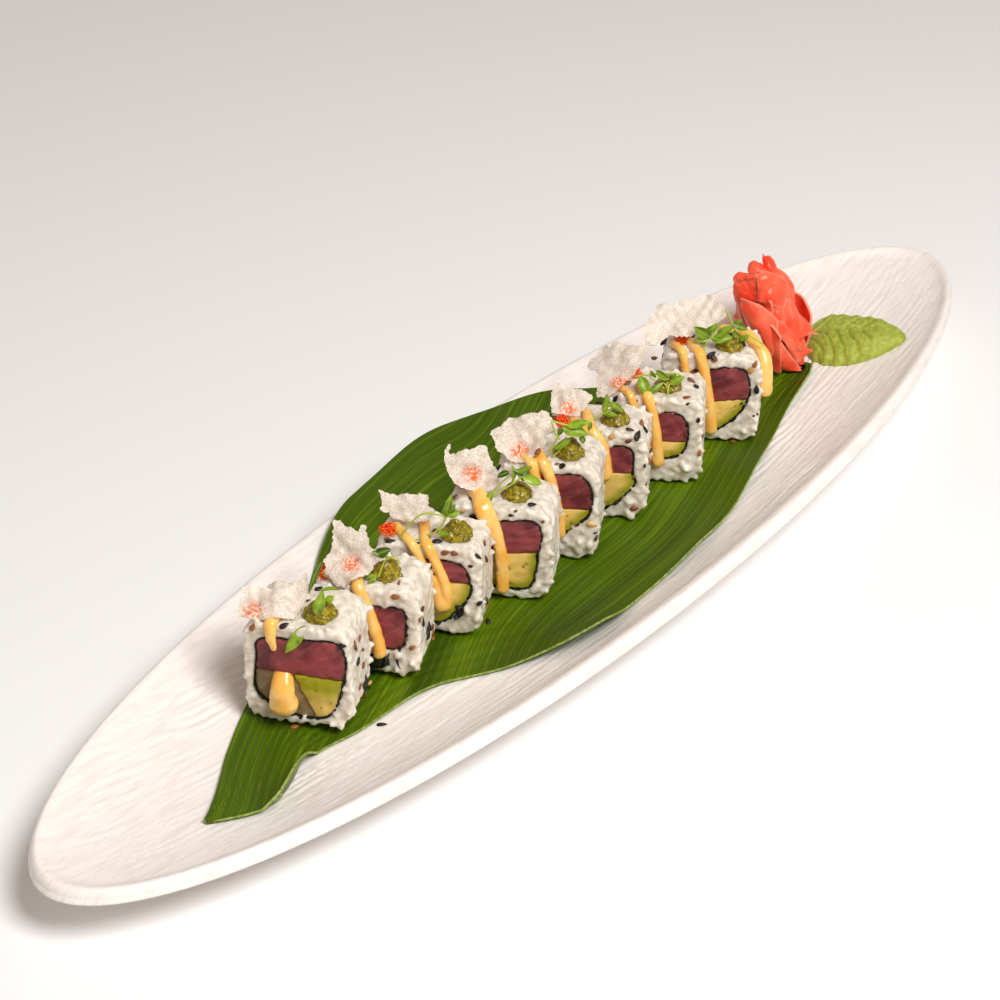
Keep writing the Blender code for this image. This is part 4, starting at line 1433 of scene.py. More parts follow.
@dataclass
class LeafLiner:
    """The leaf under the rolls.

    Attributes:
        stations: Distance along the platter, near edge and far edge.
        thickness: The leaf's thickness.
        lift: Its height over the platter.
        steps: Points along it.
        across: Points across it.
    """

    stations: tuple = (
        (-176.5, -10.2, -9.0),
        (-166.5, -17.2, -3.0),
        (-158.5, -20.4, 2.4),
        (-149.0, -17.6, 8.8),
        (-133.0, -10.4, 17.6),
        (-117.0, -12.4, 24.5),
        (-86.0, -16.0, 36.5),
        (-64.0, -30.0, 47.0),
        (-45.0, -43.5, 53.5),
        (-16.0, -40.5, 56.8),
        (10.0, -40.0, 56.2),
        (42.0, -34.5, 51.0),
        (75.0, -25.0, 41.0),
        (108.0, -14.0, 26.0),
        (132.0, -8.5, 11.0),
        (141.0, -4.6, -2.0),
    )
    thickness: float = 0.7
    lift: float = 0.95
    steps: int = 200
    across: int = 74

    def edges(self, x: np.ndarray) -> tuple[np.ndarray, np.ndarray]:
        """The near and the far edge at each distance along the platter."""
        table = np.array(self.stations)
        found = []
        for k in (1, 2):
            slopes = np.empty(len(table))
            slopes[1:-1] = (table[2:, k] - table[:-2, k]) / (table[2:, 0] - table[:-2, 0])
            slopes[0] = (table[1, k] - table[0, k]) / (table[1, 0] - table[0, 0])
            slopes[-1] = (table[-1, k] - table[-2, k]) / (table[-1, 0] - table[-2, 0])
            i = np.clip(np.searchsorted(table[:, 0], x) - 1, 0, len(table) - 2)
            gap = table[i + 1, 0] - table[i, 0]
            t = (x - table[i, 0]) / gap
            eased = (3 - 2 * t) * t**2
            bend = slopes[i] * gap * t * (1 - t) ** 2 - slopes[i + 1] * gap * t**2 * (1 - t)
            found.append(table[i, k] + (table[i + 1, k] - table[i, k]) * eased + bend)
        return found[0], found[1]

    def surface(self, x: np.ndarray, share: np.ndarray, platter: Platter) -> np.ndarray:
        """The leaf's middle at a distance along the platter and a share across the leaf."""
        near, far = self.edges(x)
        y = near + (far - near) * share
        over_rim = np.maximum(0.0, y / platter.half_width - 0.74) * 13.0
        edge = np.abs(2 * share - 1) ** 3
        loose = np.clip((x + 115.0) / 55.0, 0.2, 1.0)
        wave = 1.1 * loose * edge * (1 + np.sin(x * 0.11 + 2 * share))
        curl = 6.0 * np.maximum(0.0, 1 - ((x + 148) / 16) ** 2) * np.maximum(0.0, 1 - share / 0.1)
        bulge = 2.6 * np.exp(-(((x + 46) / 14) ** 2)) * np.maximum(0.0, 1 - share / 0.3)
        pleats = 0.16 * np.sin(2 * math.pi * share * 12) * np.minimum(1.0, 8 * share * (1 - share))
        z = platter.height(x, y) + self.lift + over_rim + wave + curl + bulge + pleats
        return np.stack([x, y + 0.12 * curl, z], -1)

    def build(self, platter: Platter, materials: list[bpy.types.Material]) -> Body:
        """Makes the leaf.

        Args:
            platter: What it lies on.
            materials: The finishes of its upper side, its underside and its rim.

        Returns:
            Its body.
        """
        places = np.linspace(self.stations[0][0], self.stations[-1][0], self.steps)
        shares = 0.5 - 0.5 * np.cos(np.linspace(0, math.pi, self.across))
        shares = 0.4 * shares + 0.6 * np.linspace(0, 1, self.across)
        x, share = np.meshgrid(places, shares, indexing="ij")
        body = sheet(self.surface(x, share, platter), self.thickness)
        flat = 2 * (self.steps - 1) * (self.across - 1)
        rim = len(body.faces) - 2 * flat
        upper = 0 if body.points[0, 2] > body.points[self.steps * self.across, 2] else 1
        body.parts = np.repeat([upper, 1 - upper, 2], [flat, flat, rim])
        near, far = self.edges(x)
        y = near + (far - near) * share
        # The veins start along the far edge and end along the near one.
        turn = np.clip((x + 30) / 70, 0, 1)
        turn = turn * turn * (3 - 2 * turn)
        across = (1 - turn) * (far - y) + turn * (97.0 - y + near)
        chart = np.stack([across.ravel(), x.ravel()], -1)
        body.chart = np.concatenate([chart, chart])
        make_piece("leaf_liner", body, materials, ("leaf",))
        return body


# ------------------------------------------------------------------- rolls


@dataclass(frozen=True)
class Seat:
    """Where a roll stands: the middle of its cut face's base and its turn in degrees."""

    x: float
    y: float
    base: float
    turn: float

    def axes(self) -> np.ndarray:
        """The roll's own three axes in the row's frame, one row each."""
        angle = math.radians(self.turn)
        return np.array(
            [
                [math.sin(angle), -math.cos(angle), 0.0],
                [math.cos(angle), math.sin(angle), 0.0],
                [0.0, 0.0, 1.0],
            ]
        )

    def place(self, points: np.ndarray) -> np.ndarray:
        """Points of the roll's own frame, in the row's frame."""
        return points @ self.axes() + np.array([self.x, self.y, self.base])

    def local(self, points: np.ndarray) -> np.ndarray:
        """Points of the row's frame, in the roll's own frame."""
        return (points - np.array([self.x, self.y, self.base])) @ self.axes().T


@dataclass
class Roll:
    """One cut piece of roll: rice round seaweed round its fillings.

    Attributes:
        number: Its place in the row.
        seat: Where it stands.
        width: Its outer width.
        height: Its outer height.
        length: Its length, from cut face to cut face.
        hole: The outline of the seaweed on the cut face, anticlockwise from its lower left.
        split: The line between tuna and what is under it, from left to right, or None.
        wedge: The line between pale fish and avocado, from top to bottom, or None.
        fringe: How many loose grains hang at the lower right of the cut face.
        flaps: Crumpled bits of seaweed on the cut face, as (across, height, how wide, how tall).
    """

    number: int
    seat: Seat
    width: float
    height: float
    length: float
    hole: tuple
    split: tuple | None
    wedge: tuple | None = None
    fringe: int = 3
    flaps: tuple = ()
    corner: float = 6.5
    sides: int = 132
    surface: BVHTree | None = None
    rice: Body | None = None
    filling_bodies: list[Body] = field(default_factory=list)

    def outline(self) -> np.ndarray:
        """The outer outline of the cut face, anticlockwise, with round corners."""
        half = self.width / 2 - self.corner
        middles = ((half, self.height - self.corner, 0), (-half, self.height - self.corner, 90))
        middles += ((-half, self.corner, 180), (half, self.corner, 270))
        loop = []
        for x, z, start in middles:
            angles = np.radians(np.linspace(start, start + 90, 9))
            loop.append(np.stack([x + self.corner * np.cos(angles), z + self.corner * np.sin(angles)], -1))
        return even(np.concatenate(loop), self.sides)

    def hole_loop(self) -> np.ndarray:
        """The outline of the hole in the rice, anticlockwise."""
        return soften(even(catmull(self.hole, 10, closed=True), self.sides), 3)

    def ring_at(self, loop: np.ndarray) -> np.ndarray:
        """The loop again, as points at even angles round the hole's middle."""
        middle = self.hole_loop().mean(0)
        away = loop - middle
        angles = np.arctan2(away[:, 1], away[:, 0])
        order = np.argsort(angles)
        reach = np.linalg.norm(away, axis=1)[order]
        wanted = np.linspace(-math.pi, math.pi, self.sides, endpoint=False)
        reach = np.interp(wanted, angles[order], reach, period=2 * math.pi)
        return middle + np.stack([np.cos(wanted), np.sin(wanted)], -1) * reach[:, None]

    def core(self) -> Body:
        """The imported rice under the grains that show."""
        outer, inner = self.ring_at(self.outline()), self.ring_at(self.hole_loop())
        rings = []
        for depth, draw_in in ((0.36, 1.2), (1.0, 0.5), (4.0, 0.24), (self.length / 2, 0.24)):
            rings.append((depth, inset(outer, draw_in)))
        rings += [(self.length - depth, loop) for depth, loop in rings[2::-1]]
        rings += [(self.length - 0.36, inner), (0.36, inner)]
        return skin(
            np.array([np.stack([loop[:, 0], np.full(self.sides, depth), loop[:, 1]], -1) for depth, loop in rings]),
            capped=False,
        )

    def wall_grains(self, draw: np.random.Generator, pitch: float) -> tuple[np.ndarray, np.ndarray]:
        """Places and outward normals of the grains on the round of the roll.

        Args:
            draw: The random source.
            pitch: Distance between grains.

        Returns:
            Their places and normals in the roll's own frame.
        """
        loop = self.outline()
        around = even(loop, int(np.linalg.norm(np.roll(loop, -1, 0) - loop, axis=1).sum() / pitch))
        ahead = np.roll(around, -1, 0) - np.roll(around, 1, 0)
        out = np.stack([ahead[:, 1], -ahead[:, 0]], -1)
        out /= np.linalg.norm(out, axis=1, keepdims=True)
        rows = int(self.length / pitch)
        places, normals = [], []
        for row in range(rows):
            depth = 1.3 + (self.length - 2.6) * (row + 0.5) / rows + draw.uniform(-0.8, 0.8, len(around))
            shift = draw.uniform(-0.5, 0.5, len(around)) * pitch
            slide = np.stack([-out[:, 1], out[:, 0]], -1) * shift[:, None]
            spot = around + slide
            places.append(np.stack([spot[:, 0], depth, spot[:, 1]], -1))
            normals.append(np.stack([out[:, 0], np.zeros(len(around)), out[:, 1]], -1))
        return np.concatenate(places), np.concatenate(normals)

    def face_grains(self, draw: np.random.Generator, spacing: float) -> np.ndarray:
        """Flat places (across, height) of the grains that a cut face shows."""
        outer, hole = inset(self.outline(), 1.0), self.hole_loop()
        middle = hole.mean(0)
        kept: list[np.ndarray] = []
        for _ in range(5200):
            spot = np.array([draw.uniform(-0.5, 0.5) * self.width, draw.uniform(0, 1) * self.height])
            away = spot - middle
            angle = math.atan2(away[1], away[0])
            reach = np.linalg.norm(away)
            bounds = []
            for loop in (hole, outer):
                offset = loop - middle
                turns = np.angle(np.exp(1j * (np.arctan2(offset[:, 1], offset[:, 0]) - angle)))
                bounds.append(np.linalg.norm(offset[np.argmin(np.abs(turns))]))
            if not bounds[0] + 0.75 < reach < bounds[1]:
                continue
            if kept and np.min(np.linalg.norm(np.array(kept) - spot, axis=1)) < spacing:
                continue
            kept.append(spot)
        return np.array(kept)

    def build_rice(self, grain: Body, material: bpy.types.Material) -> None:
        """Makes the rice: a packed core with swollen grains all over it, melted into one skin.

        Args:
            grain: The shape of one grain.
            material: Its finish.
        """
        draw = np.random.default_rng(40 + self.number)
        parts = [self.core()]
        places, normals = self.wall_grains(draw, 2.7)
        lump = waves(places, 4.0, 60 + self.number)
        under = np.clip(-normals[:, 2], 0, 1)
        right = np.clip(normals[:, 0], 0, 1) * np.clip(1 - places[:, 2] / 20, 0, 1)
        proud = 0.1 + 0.1 * lump + 0.25 * right - 0.2 * under
        places = places + normals * (proud - 1.05)[:, None]
        heading = draw.normal(size=places.shape)
        tilted = normals + 0.05 * draw.normal(size=places.shape)
        sizes = np.array([2.75, 1.2, 1.1]) * draw.uniform(0.85, 1.12, (len(places), 3))
        parts.append(scatter(grain, places, turns_about(tilted, heading), sizes))
        for front in (True, False):
            flat = self.face_grains(draw, 2.0)
            count = len(flat)
            depth = 1.0 + draw.uniform(-0.18, 0.18, count)
            depth = depth if front else self.length - depth
            spots = np.stack([flat[:, 0], np.broadcast_to(depth, count), flat[:, 1]], -1)
            facing = np.tile([0.0, -1.0 if front else 1.0, 0.0], (count, 1))
            tilted = facing + 0.07 * draw.normal(size=(count, 3))
            sizes = np.array([2.6, 1.15, 1.0]) * draw.uniform(0.85, 1.12, (count, 3))
            heading = draw.normal(size=(count, 3))
            parts.append(scatter(grain, spots, turns_about(tilted, heading), sizes))
        parts.append(self.loose_grains(grain, draw))
        local = voxel_skin(join(parts), 0.55, 1)
        local.points[:, 2] = np.maximum(local.points[:, 2], 0.0)
        self.rice = Body(self.seat.place(local.points), local.faces)
        make_piece(f"rice_mass_{self.number}", self.rice, [material], (f"rice_{self.number}",))

    def loose_grains(self, grain: Body, draw: np.random.Generator) -> Body:
        """Grains that hang out of the lower right of the cut face."""
        count = max(1, self.fringe)
        half = self.width / 2
        spots = np.stack(
            [
                half - 2.8 + draw.uniform(-4.0, 2.0, count),
                draw.uniform(0.0, 2.6, count),
                draw.uniform(1.6, 8.5, count),
            ],
            -1,
        )
        normals = draw.normal(size=(count, 3)) + np.array([1.2, -1.0, 0.0])
        sizes = np.array([2.3, 1.2, 1.15]) * draw.uniform(0.9, 1.1, (count, 3))
        return scatter(grain, spots, turns_about(normals, draw.normal(size=(count, 3))), sizes)

    def build_seaweed(self, material: bpy.types.Material) -> None:
        """Makes the wrinkled band of seaweed, thicker where it folds at the lower right.

        Args:
            material: Its finish.
        """
        loop = self.hole_loop()
        middle = loop.mean(0)
        away = loop - middle
        lower_right = np.clip((away[:, 0] - away[:, 1] + 4) / 16, 0.0, 1.0)
        outer = inset(loop, 0.1 + (0.1 + 0.25 * lower_right) * waves(loop, 1.3, 70 + self.number))
        thickness = 0.1 + 0.45 * lower_right + 0.1 * waves(loop, 0.9, 80 + self.number)
        inner = inset(loop, 0.2 + thickness)
        jag = 0.15 + 0.3 * waves(loop, 0.8, 90 + self.number)
        rings = []
        for band, depth in ((outer, jag), (outer, 2.0), (outer, self.length - 0.5)):
            rings.append(np.stack([band[:, 0], np.broadcast_to(depth, len(loop)), band[:, 1]], -1))
        for band, depth in ((inner, self.length - 0.5), (inner, 2.0), (inner, jag + 0.1)):
            rings.append(np.stack([band[:, 0], np.broadcast_to(depth, len(loop)), band[:, 1]], -1))
        bits = [skin(np.array(rings), capped=False)]
        for number, (across, height, wide, tall) in enumerate(self.flaps):
            u, v = np.meshgrid(np.linspace(-1, 1, 44), np.linspace(-1, 1, 32), indexing="ij")
            flat = np.stack([across + wide / 2 * u, 0 * u, height + tall / 2 * v], -1)
            seed = 950 + 10 * self.number + number
            bumps = np.stack([waves(flat, size, seed + k) for k, size in enumerate((2.4, 1.3, 2.0))], -1)
            flat = flat + bumps * np.array([1.3, 1.5, 1.3])
            flat[..., 1] = np.maximum(flat[..., 1] + 0.6 - 1.2 * (1 - v**2), -1.6)
            flat[..., 2] = np.maximum(flat[..., 2], 0.3)
            bits.append(sheet(flat, 0.3))
        body = join([Body(bit.points, bit.faces) for bit in bits])
        body.points = self.seat.place(body.points)
        make_piece(f"seaweed_{self.number}", body, [material], (f"nori_{self.number}",))

    def plug(self, loop: np.ndarray, recess: float, dome: float, seed: int) -> Body:
        """A filling that runs through the roll, its cut ends slightly domed and uneven.

        Args:
            loop: Its outline on the cut face.
            recess: How far its rim lies behind the cut face.
            dome: How far its middle bulges out of its rim.
            seed: Which random unevenness.

        Returns:
            The body in the roll's own frame, with "rim" marked where it is near the seaweed's right or base.
        """
        loop = soften(even(loop, 110), 3)
        loop = inset(loop, 0.12 * waves(loop, 1.6, seed))
        middle = loop.mean(0)
        shares = (0.1, 0.28, 0.45, 0.6, 0.73, 0.84, 0.92, 0.97, 0.993, 1.0)
        rings = []
        for share in shares:
            flat = middle + (loop - middle) * share
            back_off = 0.35 * max(0.0, share - 0.965) / 0.035
            depth = recess - dome * (1 - share**2) + back_off + 0.09 * waves(flat, 1.8, seed + 1)
            rings.append(np.stack([flat[:, 0], depth, flat[:, 1]], -1))
        rings += [ring * np.array([1, -1, 1]) + np.array([0, self.length, 0]) for ring in rings[::-1]]
        body = skin(np.array(rings))
        outline = self.hole_loop()
        right = outline[(outline[:, 0] > outline[:, 0].mean()) | (outline[:, 1] < outline[:, 1].mean())]
        flat = body.points[:, [0, 2]]
        near = np.min(np.linalg.norm(flat[:, None] - right[None], axis=2), axis=1)
        rim = np.clip(1.3 - near / 3.2, 0.0, 1.0)
        if self.wedge is not None:
            rim = np.clip((flat[:, 1] - 7.0) / 8.0, 0.0, 1.0)
        body.marks["rim"] = rim
        return body

    def build_fillings(self, finishes: dict[str, bpy.types.Material]) -> None:
        """Makes tuna, avocado and, in the first roll, pale fish.

        Args:
            finishes: The materials of tuna, avocado and pale_fish.
        """
        space = inset(self.hole_loop(), 0.24)
        pieces = []
        if self.split is None:
            pieces.append(("tuna", space, 0.5))
        else:
            start, end = np.array(self.split[0], float), np.array(self.split[1], float)
            pieces.append(("tuna", clip(space, start, end), 0.3))
            gap = np.array([0.0, 0.3])
            lower = clip(space, end - gap, start - gap)
            if self.wedge is not None:
                top, foot = np.array(self.wedge[0], float), np.array(self.wedge[1], float)
                pieces.append(("pale_fish", clip(lower, foot, top), 1.1))
                side = np.array([0.35, 0.0])
                lower = clip(lower, top + side, foot + side)
            pieces.append(("avocado", lower, 0.5))
        nodes = {"tuna": "tuna", "avocado": "avocado", "pale_fish": "white_fish"}
        for number, (kind, loop, recess) in enumerate(pieces):
            body = self.plug(loop, recess, 0.35, 100 * self.number + number)
            body.points = self.seat.place(body.points)
            name = f"{kind}_filling_{self.number}"
            make_piece(name, body, [finishes[kind]], (f"{nodes[kind]}_{self.number}",))
            self.filling_bodies.append(body)

    def support(self) -> BVHTree:
        """A search tree over the rice and the fillings, in the row's frame."""
        if self.surface is None:
            plain = [Body(body.points, body.faces) for body in [self.rice, *self.filling_bodies]]
            self.surface = join(plain).tree()
        return self.surface

    def top_at(self, across: float, along: float) -> float:
        """Height of the rice over its base at a place on the top."""
        start = self.seat.place(np.array([[across, along, self.height + 30.0]]))[0]
        hit = self.support().ray_cast(Vector(start), Vector((0, 0, -1)))[0]
        return hit.z - self.seat.base if hit else self.height


# ---------------------------------------------------------------- toppings


@dataclass(frozen=True)
class Strand:
    """One strand of sauce over the top and down the cut face.

    Attributes:
        radius: Its radius.
        top: Its places on the top, as (across, along).
        face: Its places on the cut face, as (across, height).
        swell: How much thicker its lower end is.
        free: Its last places, as (across, along, height).
        start: How thick its upper end is; a tapering one starts in the surface.
    """

    radius: float
    top: tuple = ()
    face: tuple = ()
    swell: float = 1.1
    free: tuple = ()
    start: float = 1.0

    def body(self, roll: Roll) -> Body:
        """The strand on its roll, in the roll's own frame."""
        path = [(across, along, roll.top_at(across, along) + 0.3 * self.radius) for across, along in self.top]
        if self.top and self.face:
            across = 0.6 * self.top[-1][0] + 0.4 * self.face[0][0]
            path.append((across, 0.1 * self.radius, roll.height - 0.5))
        path += [(across, -0.35 * self.radius, height) for across, height in self.face]
        if self.start < 1 and not self.top:
            path[0] = (path[0][0], 0.55 * self.radius, path[0][2])
        path += list(self.free)
        line = even(catmull(path, 12), max(12, int(len(path) * 8)), closed=False)
        share = np.linspace(0, 1, len(line))
        radii = self.radius * (1 + 0.04 * waves(line, 5.0, int(self.radius * 70)))
        radii *= 1 + (self.swell - 1) * share**2
        radii *= self.start + (1 - self.start) * np.minimum(1, share / 0.45)
        return tube(line, radii, 20, 0.8)


@dataclass
class Sauce:
    """The spicy sauce on one roll.

    Attributes:
        strands: Its strands.
        voxel: How finely their joins are melted.
    """

    strands: tuple[Strand, ...]
    voxel: float = 0.42

    def build(self, roll: Roll, material: bpy.types.Material) -> None:
        """Makes the sauce of a roll.

        Args:
            roll: The roll that it lies on.
            material: Its finish.
        """
        body = voxel_skin(join([strand.body(roll) for strand in self.strands]), self.voxel, 4)
        body.points += 0.05 * waves(body.points, 1.2, roll.number)[:, None] * np.array([1.0, 1.0, 1.0])
        body.points = roll.seat.place(body.points)
        make_piece(f"sauce_{roll.number}", body, [material])


@dataclass
class Crisp:
    """A thin puffed crisp that stands in the topping.

    Attributes:
        middle: Where its flat frame's origin is: across, along and over the roll's top.
        lean: How far it leans back from lying flat, in degrees.
        outline: Its outline in its own plane, as (across, up the slope).
        fold: A line in that plane, from start to end, and the slope of what folds up to the left of it.
        bow: How much it bows across.
        stain: A stain's middle in its plane, or None.
    """

    middle: tuple[float, float, float]
    lean: float
    outline: tuple
    fold: tuple | None = None
    bow: float = 0.6
    stain: tuple[float, float] | None = None
    thickness: float = 0.8
    spacing: float = 0.42

    def flat_mesh(self, seed: int) -> tuple[np.ndarray, np.ndarray, np.ndarray]:
        """The crisp's outline filled with even triangles.

        Args:
            seed: Which random raggedness.

        Returns:
            The flat points, the triangles and the edges of its rim.
        """
        rim = even(catmull(self.outline, 6, closed=True), 260)
        rim = inset(rim, 0.16 * waves(rim, 0.6, seed) + 0.12 * waves(rim, 1.6, seed + 1))
        low, high = rim.min(0), rim.max(0)
        rows = np.arange(low[1], high[1], self.spacing * 0.866)
        dots = []
        for number, row in enumerate(rows):
            columns = np.arange(low[0] + (number % 2) * self.spacing / 2, high[0], self.spacing)
            dots.append(np.stack([columns, np.full(len(columns), row)], -1))
        grid = np.concatenate(dots)
        after = np.roll(rim, -1, 0)
        crosses = (rim[None, :, 1] > grid[:, None, 1]) != (after[None, :, 1] > grid[:, None, 1])
        slope = (after[:, 0] - rim[:, 0]) / np.where(after[:, 1] == rim[:, 1], 1e-9, after[:, 1] - rim[:, 1])
        at = rim[None, :, 0] + (grid[:, None, 1] - rim[None, :, 1]) * slope[None]
        inside = (crosses & (grid[:, None, 0] < at)).sum(1) % 2 == 1
        away = np.min(np.linalg.norm(grid[:, None] - rim[None], axis=2), axis=1)
        flat = np.concatenate([rim, grid[inside & (away > self.spacing * 0.6)]])
        ring = [(i, (i + 1) % len(rim)) for i in range(len(rim))]
        places, rims, faces = delaunay_2d_cdt([Vector(point) for point in flat], ring, [], 1, 1e-5)[:3]
        points, faces = np.array([tuple(place) for place in places]), np.array(faces)
        sides = np.sort(np.concatenate([faces[:, [0, 1]], faces[:, [1, 2]], faces[:, [2, 0]]]), axis=1)
        found, counts = np.unique(sides, axis=0, return_counts=True)
        single = {tuple(side) for side in found[counts == 1]}
        rims = [(a, b) for f in faces for a, b in zip(f, np.roll(f, -1)) if (min(a, b), max(a, b)) in single]
        return points, faces, np.array(rims)

    def build(self, roll: Roll, material: bpy.types.Material) -> Body:
        """Makes the crisp.

        Args:
            roll: The roll that it stands on.
            material: Its finish.

        Returns:
            Its body in the row's frame.
        """
        seed = 300 + 10 * roll.number
        flat, faces, rim = self.flat_mesh(seed)
        lift = 0.9 * waves(flat, 6.5, seed + 2) + 0.32 * waves(flat, 2.2, seed + 3)
        lift += self.bow * (flat[:, 0] / 8) ** 2
        if self.fold is not None:
            start, end, slope = np.array(self.fold[0], float), np.array(self.fold[1], float), self.fold[2]
            ahead = (end - start) / np.linalg.norm(end - start)
            beyond = (flat - start) @ np.array([-ahead[1], ahead[0]])
            lift += slope * np.maximum(0.0, beyond)
        bubbles = 0.09 * np.maximum(0, waves(flat, 0.75, seed + 4)) + 0.03 * waves(flat, 0.45, seed + 5)
        puff = self.thickness * (0.55 + 0.25 * waves(flat, 1.5, seed + 6))
        upper = np.column_stack([flat, lift + puff / 2 + bubbles])
        lower = np.column_stack([flat, lift - puff / 2 - 0.5 * bubbles])
        size = len(flat)
        walls = np.concatenate(
            [
                np.stack([rim[:, 1], rim[:, 0], rim[:, 0] + size], -1),
                np.stack([rim[:, 1], rim[:, 0] + size, rim[:, 1] + size], -1),
            ]
        )
        body = Body(np.concatenate([upper, lower]), np.concatenate([faces, faces[:, ::-1] + size, walls]))
        body = outward(body)
        slope = math.radians(self.lean)
        axes = np.array(
            [
                [1.0, 0.0, 0.0],
                [0.0, math.cos(slope), math.sin(slope)],
                [0.0, -math.sin(slope), math.cos(slope)],
            ]
        )
        middle = np.array(self.middle) + np.array([0.0, 0.0, roll.height])
        body.points = roll.seat.place(body.points @ axes + middle)
        spot = np.zeros(size)
        if self.stain is not None:
            spot = np.clip(1.25 - np.linalg.norm(flat - np.array(self.stain), axis=1) / 3.0, 0, 1)
        body.marks["stain"] = np.tile(spot, 2)
        make_piece(f"puffed_crisp_{roll.number}", body, [material], (f"crisp_{roll.number}",))
        return body


@dataclass(frozen=True)
class Relish:
    """A heap of rough chopped green relish: across, along, radius and height on the roll's top."""

    across: float
    along: float
    radius: float
    height: float

    def build(self, roll: Roll, material: bpy.types.Material) -> Body:
        """Makes the heap.

        Args:
            roll: The roll that it lies on.
            material: Its finish.

        Returns:
            Its body in the row's frame.
        """
        draw = np.random.default_rng(500 + roll.number)
        count = 130
        angle, reach = draw.uniform(0, 2 * math.pi, count), np.sqrt(draw.uniform(0, 1, count))
        across = self.across + self.radius * 0.88 * reach * np.cos(angle)
        along = self.along + self.radius * 0.88 * reach * np.sin(angle)
        over = self.height * (1 - reach**2.2) * 0.85 * draw.uniform(0.75, 1.05, count)
        base = roll.top_at(self.across, self.along)
        places = np.stack([across, along, base + np.maximum(0.1, over)], -1)
        sizes = draw.uniform(0.5, 1.25, (count, 3))
        turns = turns_about(draw.normal(size=(count, 3)), draw.normal(size=(count, 3)))
        chunks = scatter(ball(1), places, turns, sizes)
        core = ball(3)
        core.points = core.points * np.array([self.radius * 0.85, self.radius * 0.85, self.height * 0.78])
        core.points += np.array([self.across, self.along, base])
        core.points[:, 2] = np.maximum(core.points[:, 2], base - 1.2)
        body = voxel_skin(join([core, Body(chunks.points, chunks.faces)]), 0.4, 1)
        body.points += 0.1 * waves(body.points, 0.5, roll.number)[:, None] * draw.normal(size=3)
        body.points = roll.seat.place(body.points)
        make_piece(f"relish_heap_{roll.number}", body, [material], (f"relish_{roll.number}",))
        return body


def build_roe(rolls: list[Roll], heaps: tuple, material: bpy.types.Material) -> Body:
    """Makes the beads of roe on the tops of the rolls.

    Args:
        rolls: The rolls.
        heaps: For each roll, the heap's place (across, along).
        material: The beads' finish.

    Returns:
        All the beads as one body.
    """
    draw = np.random.default_rng(77)
    places = []
    for roll, (across, along) in zip(rolls, heaps):
        kept: list[np.ndarray] = []
        for _ in range(900):
            spot = draw.uniform(-1, 1, 3) * np.array([3.1, 3.1, 0.0])
            reach = math.hypot(spot[0], spot[1]) / 3.1
            if reach > 1:
                continue
            spot[2] = draw.uniform(0, 1.9) * (1 - reach**2) ** 0.5
            if kept and np.min(np.linalg.norm(np.array(kept) - spot, axis=1)) < 0.82:
                continue
            kept.append(spot)
        base = roll.top_at(across, along)
        heap = np.array(kept) + np.array([across, along, base + 0.35])
        places.append(roll.seat.place(heap))
    spots = np.concatenate(places)
    sizes = np.full((len(spots), 3), 0.5) * draw.uniform(0.9, 1.1, (len(spots), 1))
    turns = np.broadcast_to(np.eye(3), (len(spots), 3, 3))
    body = scatter(ball(1), spots, turns, sizes)
    make_piece("roe_beads", body, [material])
    return body


@dataclass(frozen=True)
class Enlargement:
    """An enlarged part of the picture that places were read from: its left, its top and its zoom."""

    left: float
    top: float
    zoom: float

    def pixel(self, x: float, y: float) -> tuple[float, float]:
        """The picture's pixel for a place in the enlargement."""
        return self.left + x / self.zoom, self.top + y / self.zoom


class SeedKind(Enum):
    """The kinds of sesame seed, by the colours of their skins."""

    BLACK = ("#0E0A08", "#2A1E18")
    BROWN = ("#4A2010", "#A0602C")
    GOLDEN = ("#B8863A", "#E8C078")


